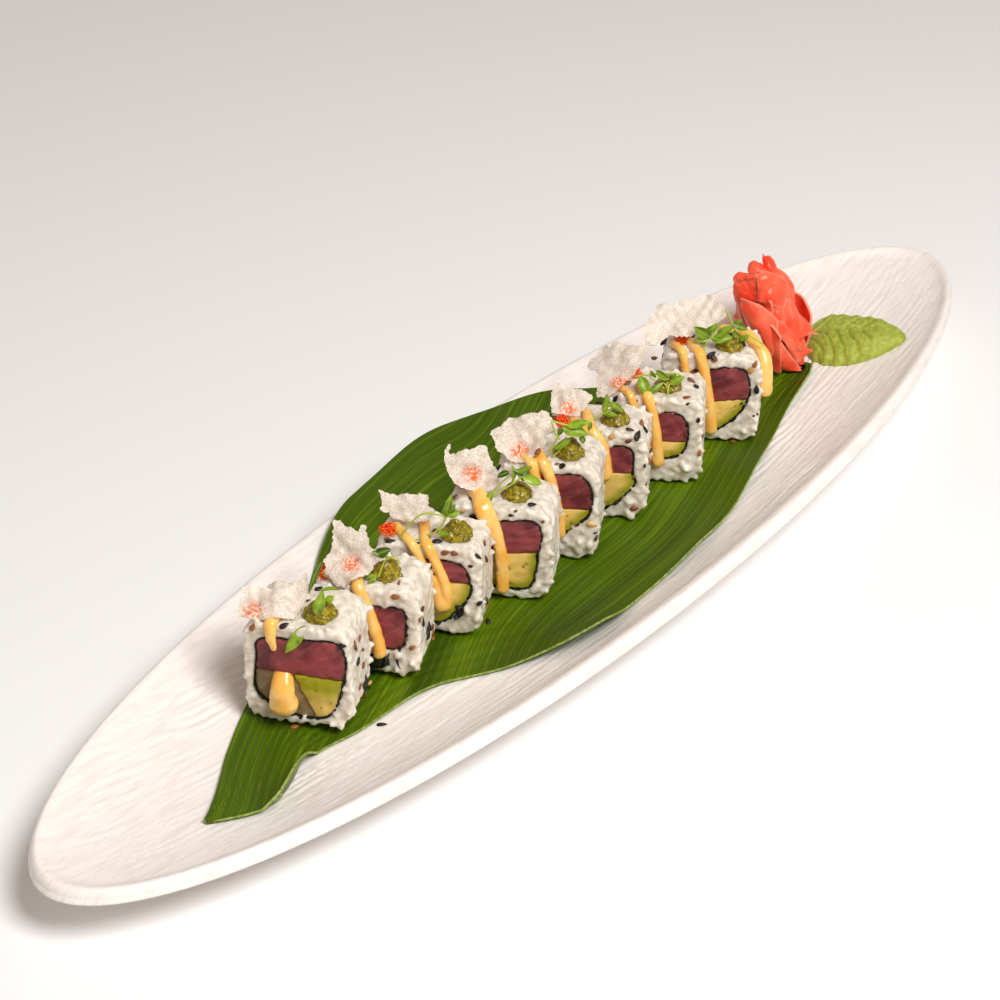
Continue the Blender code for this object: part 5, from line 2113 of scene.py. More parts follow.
@dataclass
class SeedSprinkle:
    """The sesame seeds that stick to the rice.

    Attributes:
        length: A seed's length.
        hidden: How many more lie on each roll's far sides.
    """

    length: float = 3.0
    hidden: int = 26

    def shape(self) -> Body:
        """One seed: a flat teardrop along X."""
        seed = ball(2)
        taper = 1 - 0.38 * seed.points[:, 0] - 0.12 * seed.points[:, 0] ** 2
        seed.points = seed.points * np.stack([np.ones_like(taper), 0.58 * taper, 0.3 * taper], -1)
        return seed

    def hidden_places(self, rolls: list[Roll], studio: "Studio") -> tuple[list, list]:
        """Places and normals of seeds on the sides that the picture doesn't show."""
        draw = np.random.default_rng(900)
        away = studio.axes()[2]
        places, normals = [], []
        for roll in rolls:
            tree = roll.support()
            middle = roll.seat.place(np.array([[0.0, roll.length / 2, roll.height / 2]]))[0]
            kept = 0
            while kept < self.hidden:
                way = draw.normal(size=3)
                way[2] = abs(way[2]) * 0.8
                way /= np.linalg.norm(way)
                start = middle + way * 60
                place, normal, _, _ = tree.ray_cast(Vector(start), Vector(-way))
                kept += 1
                if place is None or np.dot(normal, away) > 0.02:
                    continue
                places.append(np.array(place))
                normals.append(np.array(normal))
        return places, normals

    def build(self, rolls: list[Roll], studio: "Studio", tree: BVHTree, readings: tuple, finishes: dict) -> None:
        """Makes one piece of seeds for each kind.

        Args:
            rolls: The rolls.
            studio: The studio, whose camera gives the places.
            tree: A search tree over everything that seeds can lie on.
            readings: Groups of seeds as (enlargement, ((x, y, kind, turn, size), ...)).
            finishes: A material for each kind.
        """
        draw = np.random.default_rng(901)
        right, up, _ = studio.axes()
        found: dict[SeedKind, list] = {kind: [] for kind in SeedKind}
        for view, seeds in readings:
            for x, y, kind, turn, size in seeds:
                pixel = view.pixel(x, y)
                place, normal, _, _ = tree.ray_cast(Vector(studio.eye), Vector(studio.ray(*pixel)))
                if place is None:
                    continue
                angle = math.radians(turn)
                heading = right * math.cos(angle) + up * math.sin(angle)
                found[kind].append((np.array(place), np.array(normal), heading, size))
        places, normals = self.hidden_places(rolls, studio)
        for place, normal in zip(places, normals):
            kind = draw.choice([SeedKind.BLACK, SeedKind.BROWN, SeedKind.BROWN, SeedKind.GOLDEN])
            found[kind].append((place, normal, draw.normal(size=3), draw.uniform(0.8, 1.05)))
        for kind, rows in found.items():
            spots = np.array([place + normal * 0.22 for place, normal, _, _ in rows])
            facing = np.array([row[1] for row in rows]) + 0.18 * draw.normal(size=(len(rows), 3))
            turns = turns_about(facing, np.array([row[2] for row in rows]))
            sizes = np.array([[row[3]] * 3 for row in rows]) * self.length / 2
            body = scatter(self.shape(), spots, turns, sizes)
            make_piece(f"{kind.name.lower()}_sesame", body, [finishes[kind]])


@dataclass(frozen=True)
class Blade:
    """One cress leaf: where its foot and its tip are in an enlargement, how wide it is there and how much painted shade
    it gets.
    """

    foot: tuple[float, float]
    tip: tuple[float, float]
    width: float
    dark: float = 0.2

    def body(self, feet: np.ndarray, end: np.ndarray, width: float, facing: np.ndarray, seed: int) -> Body:
        """The leaf between two places, with its face turned to the camera more or less.

        Args:
            feet: The foot's place.
            end: The tip's place.
            width: Its width in millimetres.
            facing: The way to the camera.
            seed: Which random twist.

        Returns:
            The leaf, with "pale" marked on its midrib and its painted shade "dark" all over.
        """
        draw = np.random.default_rng(seed)
        ahead = end - feet
        length = np.linalg.norm(ahead)
        ahead = ahead / length
        side = np.cross(ahead, facing + 0.35 * draw.normal(size=3))
        side /= np.linalg.norm(side)
        out = np.cross(side, ahead)
        u, v = np.meshgrid(np.linspace(0, 1, 15), np.linspace(-1, 1, 9), indexing="ij")
        half = width / 2 * np.maximum(0.05, np.sin(math.pi * np.clip(u, 0, 1) ** 0.8) ** 0.75)
        cup = 0.16 * width * v**2 * np.sin(math.pi * u) + 0.12 * length * np.sin(math.pi * u) * draw.uniform(0.4, 1)
        grid = feet + ahead * (u * length)[..., None] + side * (v * half)[..., None] + out * cup[..., None]
        leaf = sheet(grid, 0.28)
        rib = np.exp(-((v / 0.2) ** 2)) * 0.55
        # The mark "dark" is painted shade, for leaves that lie in shadow.
        leaf.marks = {"pale": np.tile(rib.ravel(), 2), "dark": np.full(2 * v.size, self.dark)}
        return leaf


@dataclass(frozen=True)
class Sprig:
    """Cress on one roll.

    Attributes:
        view: The enlargement that its places were read from.
        blades: Its leaves.
        stems: Its stems, each as places in the enlargement.
        towards: How far in front of the relish's middle it stands.
    """

    view: Enlargement
    blades: tuple[Blade, ...]
    stems: tuple = ()
    towards: float = 2.5

    def bodies(self, roll: Roll, heap: Relish, studio: "Studio", tree: BVHTree) -> list[Body]:
        """The leaves and stems of this sprig, resting on whatever lies behind them.

        Args:
            roll: The roll that it lies on.
            heap: The relish that holds it.
            studio: The studio, whose camera gives the places.
            tree: A search tree over everything below it.

        Returns:
            The bodies in the row's frame.
        """
        middle = roll.seat.place(np.array([[heap.across, heap.along, roll.height + 2.0]]))[0]
        eye, facing = np.array(studio.eye), studio.axes()[2]

        def spot(x: float, y: float) -> np.ndarray:
            pixel = self.view.pixel(x, y)
            place = studio.at_plane(*pixel, middle, self.towards)
            way = studio.ray(*pixel)
            hit = tree.ray_cast(Vector(eye), Vector(way))[0]
            if hit is not None and np.linalg.norm(np.array(hit) - eye) - 0.35 < np.linalg.norm(place - eye):
                place = np.array(hit) - way * 0.35
            return place

        found = []
        for number, blade in enumerate(self.blades):
            foot, tip = spot(*blade.foot), spot(*blade.tip)
            size = blade.width / self.view.zoom * 0.0004 * np.linalg.norm(foot - eye)
            found.append(blade.body(foot, tip, size, facing, 700 + 20 * roll.number + number))
        for line in self.stems:
            path = even(catmull([spot(x, y) for x, y in line], 8), 6 * len(line), closed=False)
            stem = tube(path, np.full(len(path), 0.3), 8)
            stem.marks = {"pale": np.ones(len(stem.points)), "dark": np.zeros(len(stem.points))}
            found.append(stem)
        return found


@dataclass(frozen=True)
class GingerSlice:
    """One folded slice of ginger: a grid of (x, y, towards the camera), read from an enlargement."""

    rows: tuple

    def body(self, view: Enlargement, middle: np.ndarray, studio: "Studio", thickness: float, seed: int) -> Body:
        """The slice as a thin wavy sheet.

        Args:
            view: The enlargement.
            middle: The heap's middle.
            studio: The studio, whose camera gives the places.
            thickness: Its thickness.
            seed: Which random waves.

        Returns:
            The slice.
        """
        knots = np.array(
            [[studio.at_plane(*view.pixel(x, y), middle, out) for x, y, out in row] for row in self.rows]
        )
        rows = np.stack([catmull(knots[i], 9) for i in range(len(knots))])
        grid = np.stack([catmull(rows[:, j], 9) for j in range(rows.shape[1])], axis=1)
        normals = grid_normals(grid)
        grid = grid + normals * (0.35 * waves(grid, 3.2, seed) + 0.12 * waves(grid, 1.3, seed + 1))[..., None]
        u = np.linspace(-1, 1, grid.shape[0])[:, None]
        v = np.linspace(-1, 1, grid.shape[1])[None]
        rim = np.maximum(np.abs(u) ** 8, np.abs(v) ** 8) * np.ones_like(u * v)
        slice_body = sheet(grid, thickness * (1 - 0.55 * rim))
        edge = np.maximum(np.abs(u) ** 14, np.abs(v) ** 14) * np.ones_like(u * v)
        slice_body.marks = {"edge": np.tile(edge.ravel(), 2)}
        return slice_body


@dataclass
class GingerRose:
    """The heap of pickled ginger, folded like a rose.

    Attributes:
        middle: Its middle on the platter.
        foot: The height of its base.
        height: Its height.
        view: The enlargement that the front slices were read from.
        slices: The front slices.
    """

    foot: float
    view: Enlargement
    slices: tuple[GingerSlice, ...]
    middle: tuple[float, float] = (136.0, 6.0)
    height: float = 33.0

    def core(self) -> Body:
        """The tightly packed inside, wider below."""
        levels = np.linspace(0, 1, 26)
        angles = np.linspace(0, 2 * math.pi, 60, endpoint=False)
        rings = []
        for level in levels:
            reach = (7.6 - 3.4 * level) * (1 - max(0.0, level - 0.86) * 5)
            reach = reach * (1 + 0.12 * np.sin(3 * angles + 4 * level) + 0.06 * np.sin(7 * angles - 5 * level))
            x = self.middle[0] + 1.4 * (1 - level) + reach * np.cos(angles)
            y = self.middle[1] + 3.0 * level + reach * np.sin(angles)
            rings.append(np.stack([x, y, np.full(60, self.foot + self.height * level)], -1))
        return skin(np.array(rings))

    def back_slices(self) -> list[Body]:
        """Slices that wrap the far side, which the picture doesn't show."""
        found = []
        table = (
            # start, span, lower radius, upper radius, foot, top
            (-40, 105, 9.5, 11.0, 0.3, 20.0),
            (30, 120, 9.0, 11.5, 0.5, 24.0),
            (110, 105, 9.5, 10.5, 0.4, 22.0),
            (0, 110, 6.5, 9.0, 12.0, 30.0),
            (80, 120, 6.0, 8.5, 14.0, 33.0),
        )
        for number, (start, span, low, high, foot, top) in enumerate(table):
            u, v = np.meshgrid(np.linspace(0, 1, 44), np.linspace(0, 1, 30), indexing="ij")
            angle = np.radians(start + span * u)
            crown = 1 - 0.3 * np.abs(2 * u - 1) ** 2.5
            reach = low + (high - low) * v + 1.4 * np.sin(math.pi * v) + 1.8 * u - 1.0 + 1.6 * v**4
            level = self.foot + foot + (top - foot) * v * crown
            share = (level - self.foot) / self.height
            x = self.middle[0] + reach * np.cos(angle)
            y = self.middle[1] + 3.0 * share + reach * np.sin(angle)
            grid = np.stack([x, y, level], -1)
            grid = grid + grid_normals(grid) * (0.4 * waves(grid, 4.0, 610 + number))[..., None]
            body = sheet(grid, 0.9)
            body.marks = {"edge": body.marks["edge"]}
            found.append(body)
        return found

    def build(self, studio: "Studio", material: bpy.types.Material) -> None:
        """Makes the heap.

        Args:
            studio: The studio, whose camera gives the front slices' places.
            material: Its finish.
        """
        middle = np.array([*self.middle, self.foot + 15.0])
        inside = self.core()
        inside.marks = {"edge": np.zeros(len(inside.points))}
        bodies = [inside, *self.back_slices()]
        for number, one in enumerate(self.slices):
            bodies.append(one.body(self.view, middle, studio, 0.95, 640 + 3 * number))
        rose = join(bodies)
        rose.points[:, 2] = np.maximum(rose.points[:, 2], self.foot - 0.3)
        make_piece("ginger_rose", rose, [material], ("ginger",))


@dataclass
class PasteLeaf:
    """Green horseradish paste pressed into the shape of a leaf.

    Attributes:
        x: Its middle along the platter.
        y: Its middle across the platter.
        turn: Which way its tip points, in degrees.
        length: Its length.
        width: Its width.
        height: Its height at the midrib.
        edge: The height of its rim.
    """

    x: float = 160.5
    y: float = -9.4
    turn: float = -66.0
    length: float = 37.0
    width: float = 30.0
    height: float = 7.4
    edge: float = 1.4

    def build(self, platter: Platter, material: bpy.types.Material) -> None:
        """Makes the paste leaf.

        Args:
            platter: What it lies on.
            material: Its finish.
        """
        u, v = np.meshgrid(np.linspace(0, 1, 132), np.linspace(-1, 1, 100), indexing="ij")
        body_width = np.sin(math.pi * np.clip(u, 0.0, 1.0) ** 0.82) ** 0.62
        half = self.width / 2 * np.maximum(0.02, body_width)
        half = half * (1 + 0.025 * np.sin(u * 2 * math.pi * 8 + 1.0 * np.sign(v)))
        across = v * half
        along = (u - 0.5) * self.length - 1.5 * (np.abs(v) ** 2) * np.sin(math.pi * u)
        rise = (1 - np.abs(v) ** 2.6) ** 0.6 * np.minimum(1.0, 4.5 * u * (1 - u) + 0.12)
        top = self.edge * 0.5 + (self.height - self.edge * 0.5) * rise
        phase = u * 7.5 - np.abs(v) * 2.0 + 0.15 * waves(np.stack([u * 30, v * 15], -1), 6.0, 33)
        groove = np.exp(-(((phase - np.round(phase)) / 0.13) ** 2)) * (0.75 + 0.25 * np.cos(9 * u + 4 * np.sign(v)))
        top = top - 1.15 * groove * (1 - np.abs(v) ** 8) * np.clip(np.abs(v) * 8, 0, 1)
        top = top - 0.9 * np.exp(-((v / 0.035) ** 2)) * np.clip(4 * (1 - u), 0, 1)
        angle = math.radians(self.turn)
        ahead = np.array([math.cos(angle), math.sin(angle)])
        aside = np.array([-math.sin(angle), math.cos(angle)])
        flat = np.array([self.x, self.y]) + along[..., None] * ahead + across[..., None] * aside
        base = platter.height(flat[..., 0], flat[..., 1]) + 0.25
        top = top + 0.06 * waves(flat, 1.1, 31) + 0.16 * waves(flat, 3.5, 32)
        upper = np.concatenate([flat, (base + np.maximum(0.3, top))[..., None]], -1)
        lower = np.concatenate([flat, base[..., None]], -1)
        body = slab(upper, lower)
        make_piece("paste_leaf", body, [material], ("wasabi",))


# ------------------------------------------------------------------ studio


@dataclass
class Studio:
    """The camera, the light and the floor.

    Attributes:
        eye: The camera's place in millimetres.
        tilt: Its tilt from looking straight down, in degrees.
        heading: Its turn about the vertical, in degrees.
        lens: Its focal length in millimetres, on a sensor 36 mm wide.
        key_turn: Where the key light comes from, as a turn from the platter's length in degrees.
        key_rise: How high it stands, in degrees.
        key_power: Its power.
        fill: The strength of the light from all round.
    """

    eye: tuple[float, float, float] = (-537.7, -390.2, 453.7)
    tilt: float = 57.0
    heading: float = -52.2
    lens: float = 90.0
    key_turn: float = -108.0
    key_rise: float = 54.0
    key_power: float = 13.0
    fill: float = 0.36

    def axes(self) -> np.ndarray:
        """The picture's right, its up and the way back to the camera, one row each."""
        turn = Matrix.Rotation(math.radians(self.heading), 3, "Z") @ Matrix.Rotation(math.radians(self.tilt), 3, "X")
        return np.array(turn).T

    def ray(self, px: float, py: float) -> np.ndarray:
        """The direction in which the camera sees a pixel of the 1000-pixel picture."""
        right, up, back = self.axes()
        side = 36.0 / self.lens / 1000.0
        way = right * (px - 500) * side + up * (500 - py) * side - back
        return way / np.linalg.norm(way)

    def at_plane(self, px: float, py: float, point: np.ndarray, towards: float = 0.0) -> np.ndarray:
        """Where a pixel meets the upright plane through a point that faces the camera.

        Args:
            px: The pixel's place from the left.
            py: The pixel's place from the top.
            point: A point of the plane.
            towards: How far the plane is moved towards the camera.

        Returns:
            The place in millimetres.
        """
        back = self.axes()[2] * np.array([1.0, 1.0, 0.0])
        back /= np.linalg.norm(back)
        eye, way = np.array(self.eye), self.ray(px, py)
        return eye + way * ((np.asarray(point) + back * towards - eye) @ back) / (way @ back)

    def build(self, floor_material: bpy.types.Material) -> None:
        """Makes the camera, the lights and the floor.

        Args:
            floor_material: The floor's finish.
        """
        scene = bpy.context.scene
        data = bpy.data.cameras.new("camera")
        data.lens, data.sensor_width = self.lens, 36.0
        data.clip_start = 0.01
        camera = bpy.data.objects.new("camera", data)
        camera.location = Vector(self.eye) * MM
        camera.rotation_euler = (math.radians(self.tilt), 0.0, math.radians(self.heading))
        scene.collection.objects.link(camera)
        scene.camera = camera
        turn, rise = math.radians(self.key_turn), math.radians(self.key_rise)
        direction = (math.cos(turn) * math.cos(rise), math.sin(turn) * math.cos(rise), math.sin(rise))
        lamp = bpy.data.lights.new("softbox", "AREA")
        lamp.shape, lamp.size, lamp.energy = "DISK", 0.55, self.key_power
        key = bpy.data.objects.new("softbox", lamp)
        key.location = Vector(direction) * 1.2
        key.rotation_euler = Vector(direction).to_track_quat("Z", "Y").to_euler()
        scene.collection.objects.link(key)
        world = bpy.data.worlds.new("studio")
        world.use_nodes = True
        sky = world.node_tree.nodes["Background"]
        sky.inputs["Color"].default_value = linear("#FFF1E4")
        sky.inputs["Strength"].default_value = self.fill
        scene.world = world
        mesh = bpy.data.meshes.new("floor")
        size = 3.0
        mesh.from_pydata([(-size, -size, 0), (size, -size, 0), (size, size, 0), (-size, size, 0)], [], [(0, 1, 2, 3)])
        mesh.materials.append(floor_material)
        floor = bpy.data.objects.new("floor", mesh)
        scene.collection.objects.link(floor)
        scene.view_settings.view_transform = "Standard"


# -------------------------------------------------------------------- main

ROLLS = (
    # number, x, y, turn, width, height, length, hole, split, wedge
    (1, -126.7, 1.1, 25.8, 31.5, 34.0, 22.0,
     ((-9, 6), (0, 2), (8.5, 3.6), (11.6, 8), (14.2, 18), (14.4, 25), (12.2, 30), (4, 30), (-10.5, 28.6), (-12, 22),
      (-13, 11)), ((-13, 17.8), (14, 17.2)), ((-1.5, 17), (5, 2))),
    (2, -94.7, 3.4, 25.8, 33.0, 30.0, 19.5,
     ((-10, 9.6), (4, 9), (10.6, 9.2), (12.6, 14.1), (12.6, 22), (10.6, 24.3), (1.9, 24), (-9, 24), (-11.6, 20),
      (-11.8, 14)), None, None),
    (3, -67.6, 1.9, 27.8, 33.0, 31.0, 19.0,
     ((-8, 4.5), (3.6, 3.4), (8.5, 7.6), (13, 14), (13.3, 19), (9.6, 26), (-1, 26), (-10, 25), (-12, 18), (-11.6, 10)),
     ((-12, 18), (13, 19)), None),
    (4, -40.0, -3.4, 28.8, 33.0, 32.5, 20.0,
     ((-7, 4.2), (1, 3.5), (8.6, 3.5), (10.9, 6), (12.3, 12), (12.4, 17), (13.5, 21), (13.4, 26), (10, 29), (.4, 28),
      (-9, 27), (-11.6, 21), (-11.6, 10)), ((-12, 14.6), (13, 17.6)), None),
    (5, -13.4, -1.8, 29.8, 32.5, 34.0, 20.5,
     ((-6, 9.4), (4, 9.2), (7.5, 10.2), (12.5, 15), (14.2, 18), (14.6, 23), (13.5, 28), (9, 31.5), (2, 30.4), (-8, 29),
      (-11.4, 23), (-11, 14)), ((-12, 17.8), (14, 18.6)), None),
    (6, 14.8, -0.6, 30.8, 32.5, 31.5, 19.8,
     ((-7, 5), (3.4, 3.4), (9.4, 8.4), (13, 13.5), (11.8, 17), (12, 21), (11.6, 25.5), (8, 27.2), (0, 26.6), (-9, 25.6),
      (-11.4, 19), (-11, 10)), ((-12, 16), (13, 17.4)), None),
    (7, 43.3, -2.4, 30.8, 33.0, 31.5, 20.5,
     ((-7, 8.4), (2, 8.3), (8, 9.6), (10.8, 12), (12.2, 17), (11.9, 20), (10.8, 24.5), (6, 26.7), (-2, 26), (-9.6, 24.6),
      (-11.8, 19), (-11, 12)), ((-12, 15), (12, 15.8)), None),
    (8, 76.4, -2.9, 30.8, 33.5, 32.5, 21.5,
     ((-8, 4.4), (2.5, 3.6), (9.4, 9.5), (12, 13.5), (13.4, 17.5), (13.6, 21), (11.7, 27.5), (6, 28.4), (-2, 27),
      (-10, 25.6), (-12, 19), (-11.8, 10)), ((-12, 13), (13, 16.6)), None),
)

FRINGES = {2: 9, 3: 7, 5: 8, 6: 5}

FLAPS = {
    2: ((5.6, 5.4, 8.0, 4.6), (0.5, 4.6, 5.0, 3.5)),
    3: ((10.0, 8.0, 3.5, 4.5),),
    7: ((-3.0, 4.2, 4.5, 2.5),),
}

SAUCES = (
    (Strand(2.3, ((-8, 8), (-7.2, 4)), ((-6.8, 30), (-6.0, 26.5)), 0.4),
     Strand(3.4, (), ((-4.4, 16.2), (-4.2, 12.0), (-4.0, 7.4)), 1.26, (), 0.86)),
    (Strand(1.7, ((-12.5, 5), (-7, 3)), (), 1.0),
     Strand(2.0, ((-5, 8), (-3, 3.5)), ((0.8, 24), (3.6, 14), (4.6, 8)))),
    (Strand(1.6, ((-11, 9), (-7, 3)), ((0.5, 21), (4.6, 10.5))),
     Strand(1.6, ((-3, 12), (-1, 3)), ((3.2, 25), (5.6, 18), (5.8, 10.5))),
     Strand(2.2, (), ((1.6, 20.0), (3.0, 15.0), (4.4, 11.0)), 1.2)),
    (Strand(2.0, ((-7.5, 8), (-5, 3)), ((-0.6, 25), (1.2, 14), (1.6, 4))),
     Strand(2.9, ((-8, 8), (-6, 4)), ((-3.4, 28.5), (-1.2, 22.5)), 0.6)),
    (Strand(1.7, ((-9, 6), (-7, 3)), ((-1, 22), (4, 9.5))),
     Strand(1.8, ((-4, 9), (-2.5, 3)), ((2.8, 23), (4.6, 9.5)))),
    (Strand(1.8, ((-8, 6), (-6.5, 3)), ((-2, 23), (2.2, 17))),
     Strand(2.0, ((-4.5, 12), (-2.5, 3)), ((2, 26), (3.2, 17)), 1.2)),
    (Strand(1.5, ((-12, 7), (-9, 3)), ((-4, 20), (1.6, 8))),
     Strand(1.8, ((-5, 8), (-3, 3)), ((1, 21), (2.4, 8)), 1.2)),
    (Strand(1.6, ((-13, 7), (-11, 3)), ((-7, 20), (0, 4.5))),
     Strand(2.0, ((-7.5, 8), (-5, 3)), ((-1.5, 23), (1.2, 4.5))),
     Strand(2.2, ((3, 18), (8, 15.8)), (), 1.15,
            ((11.8, 12.5, 33.9), (17.0, 8.0, 30.0), (18.2, 5.0, 25.5), (18.4, 3.2, 18.5)))),
)

CRISPS = (
    Crisp((-8.5, 6.3, 2.4), 20, (
        (-8.6, 4.6), (-1.4, 5.3), (2.6, 5.5), (4.5, 7.2), (6.1, 10), (7.1, 11.5), (8.2, 10.5), (8.6, 8.1), (9.3, 6.1),
        (9.2, 3.6), (8.8, 0.8), (7.3, -3.1), (3.7, -4.9), (-1.3, -5.6), (-5.3, -5.8), (-7.9, -5.2), (-9, -0.1),
        (-9.2, 2.4)), stain=(-4.5, -3.0)),
    Crisp((-6.1, 11.4, 9.9), 38, (
        (-5.9, 3.7), (-3.8, 3.9), (-2.4, 2.7), (-0.5, 2.3), (1.5, 1.3), (2.2, 3.5), (3.4, 3.7), (4.4, 0.8), (5.5, -0.6),
        (6.1, -2.4), (7.6, -4), (9.6, -5), (11.7, -6.3), (10.3, -6.9), (8.4, -8), (7.8, -9.6), (5.5, -12.1), (-0.7, -15.8),
        (-3.5, -14), (-5.6, -11.9), (-5.6, -10.1), (-6.8, -8.7), (-6.5, -7.1), (-6, -5.2), (-5.4, -3.3), (-5.4, -2),
        (-5.8, 2.2)), stain=(1.5, -8.5)),
    Crisp((-9.2, 13.7, 5.04), 30, (
        (-8.5, 3.1), (-4.9, 2.9), (-2.7, 3.2), (1, 3.3), (4.1, 4), (5.7, 3.8), (6.6, 3.2), (6.7, 1.7), (7.3, -0.1),
        (8.9, -1.3), (9.4, -2.7), (8.6, -4.7), (6.6, -5.9), (2.9, -5.7), (-0.6, -5.2), (-2.5, -4.9), (-4.2, -3.4),
        (-4.8, -2.5), (-5.9, -2.9), (-7.2, -2.1), (-7.2, 0), (-7.9, 1.9))),
    Crisp((-10, 11.5, 7.85), 38, (
        (-8, 4.2), (-7.7, 5.3), (-7, 5.5), (-6.9, 4.2), (-7.2, 3), (-6.4, 2.4), (-4.1, 3.1), (-2.7, 4), (-0.3, 4.4),
        (1.1, 5.7), (2.6, 6.4), (3.5, 6.4), (4.2, 5.2), (4.9, 3.7), (5.7, 2.1), (6.8, 0.1), (7.9, -1.3), (9.2, -4.4),
        (9.2, -5.7), (8, -7.1), (6.6, -8), (3.9, -8.8), (0.7, -8.4), (-1.8, -8.3), (-3.8, -7.2), (-5.9, -4.8),
        (-7.3, -2.7), (-8.1, -0.2), (-8.5, 1.7)), stain=(0.5, -3.0)),
    Crisp((-9.2, 9.2, 7.39), 38, (
        (-9.4, -3.1), (-9, -2), (-7.3, -0.5), (-6.3, 0.3), (-5.5, 1.5), (-4.4, 3.1), (-2.9, 3.6), (-1.3, 3.1), (0.2, 3.7),
        (1.4, 4.4), (3.5, 4.8), (4.8, 4.3), (5.5, 5.2), (6.6, 5.6), (7.9, 5.2), (8.6, 3.9), (9.7, 3), (11.5, 0.2),
        (9.8, -1.3), (8.4, -2.1), (7.5, -3.2), (8.3, -4.8), (8.2, -6.2), (6.5, -8.3), (4.5, -9.9), (2.8, -11.4),
        (0, -11.6), (-2.2, -11.3), (-4.1, -9.7), (-6.8, -8.2), (-7.4, -6.2), (-8.8, -4)), stain=(0.5, -7.5)),
    Crisp((-9.5, 11.8, 5.25), 30, (
        (-6.4, 3.3), (-5.8, 4.2), (-3.8, 4.6), (-0.8, 3.6), (3.4, 2.9), (5.1, 2), (6.7, 1), (6.7, 0.1), (5.8, -0.9),
        (5.1, -2.5), (4.5, -3.8), (3.3, -4.8), (3.1, -6), (1.5, -6.5), (-0.7, -6.2), (-4, -5.7), (-5.6, -5.9),
        (-6, -3.7), (-6.4, -0.7)), stain=(-0.5, -4.0)),
    Crisp((-11.5, 9.5, 10.41), 38, (
        (-11.6, -1.5), (-10.3, 1.4), (-8.8, 2.6), (-8.2, 4.7), (-7, 5.7), (-5.2, 5.9), (-4.3, 5.2), (-3.1, 6.6),
        (-1.2, 6.4), (0.7, 5.1), (2.2, 4.5), (4.2, 4), (5.9, 3.4), (7.7, 4.7), (9, 4.9), (8.9, 2.7), (8.1, 0.2),
        (7.6, -1.6), (6.5, -4.2), (4.8, -6.7), (2.4, -8.7), (1.2, -10.5), (-0.2, -12.4), (-2.4, -14.3), (-5.6, -14.5),
        (-7, -13.5), (-7, -9.3), (-7.6, -7.6), (-7.4, -5.1), (-8.5, -3.6), (-10, -2.8)),
        ((0.0, -9.0), (6.2, 3.2), -0.75), stain=(0.0, -9.5)),
    Crisp((-8.6, 12.4, 9.41), 38, (
        (-13.8, -10), (-13.7, -7.1), (-13.5, -4.9), (-12.5, -3.3), (-12.3, -1.5), (-11.1, 0.7), (-9.8, 1.6), (-7.4, 1.5),
        (-5.7, 1.1), (-4.8, 1.7), (-3.9, 3.6), (-1.9, 4.2), (0.7, 4.5), (1.6, 5.9), (2.9, 6.7), (5.6, 7.1), (7.3, 6.8),
        (8.7, 5.6), (9.9, 3.5), (11.3, 2.2), (12.3, -1.4), (11.7, -2.5), (8.8, -4.9), (6.9, -5.7), (3, -7.4),
        (1.4, -9), (-1.2, -9.5), (-5, -9), (-6.9, -9.9), (-8.5, -11.4), (-10.1, -12.6), (-12.4, -13.5), (-13.8, -12.2))),
)

RELISHES = (
    Relish(5.4, 7.6, 5.2, 5.0),
    Relish(4.6, 8.6, 5.0, 6.2),
    Relish(7.6, 8.0, 5.0, 5.0),
    Relish(4.6, 8.8, 5.0, 4.8),
    Relish(6.2, 7.8, 5.0, 5.6),
    Relish(5.0, 8.8, 4.8, 4.6),
    Relish(4.2, 8.0, 4.8, 4.6),
    Relish(5.8, 7.6, 5.2, 5.0),
)

ROE_HEAPS = ((-10.5, 9), (-13, 6), (-12.8, 7), (-12.5, 13.5), (-11.5, 12.5), (-12, 5.5), (-8, 15), (-10, 9))


NEAR_HALF = Enlargement(200, 480, 4.356)
FAR_HALF = Enlargement(470, 320, 4.7515)
FIRST_ROLL = Enlargement(230, 560, 8.71)
SECOND_ROLL = Enlargement(300, 490, 10.454)
MIDDLE_ROLLS = Enlargement(470, 400, 9.8)
LAST_ROLL = Enlargement(640, 280, 9.227)
FAR_END = Enlargement(700, 230, 7.127)

K, B, G = SeedKind.BLACK, SeedKind.BROWN, SeedKind.GOLDEN

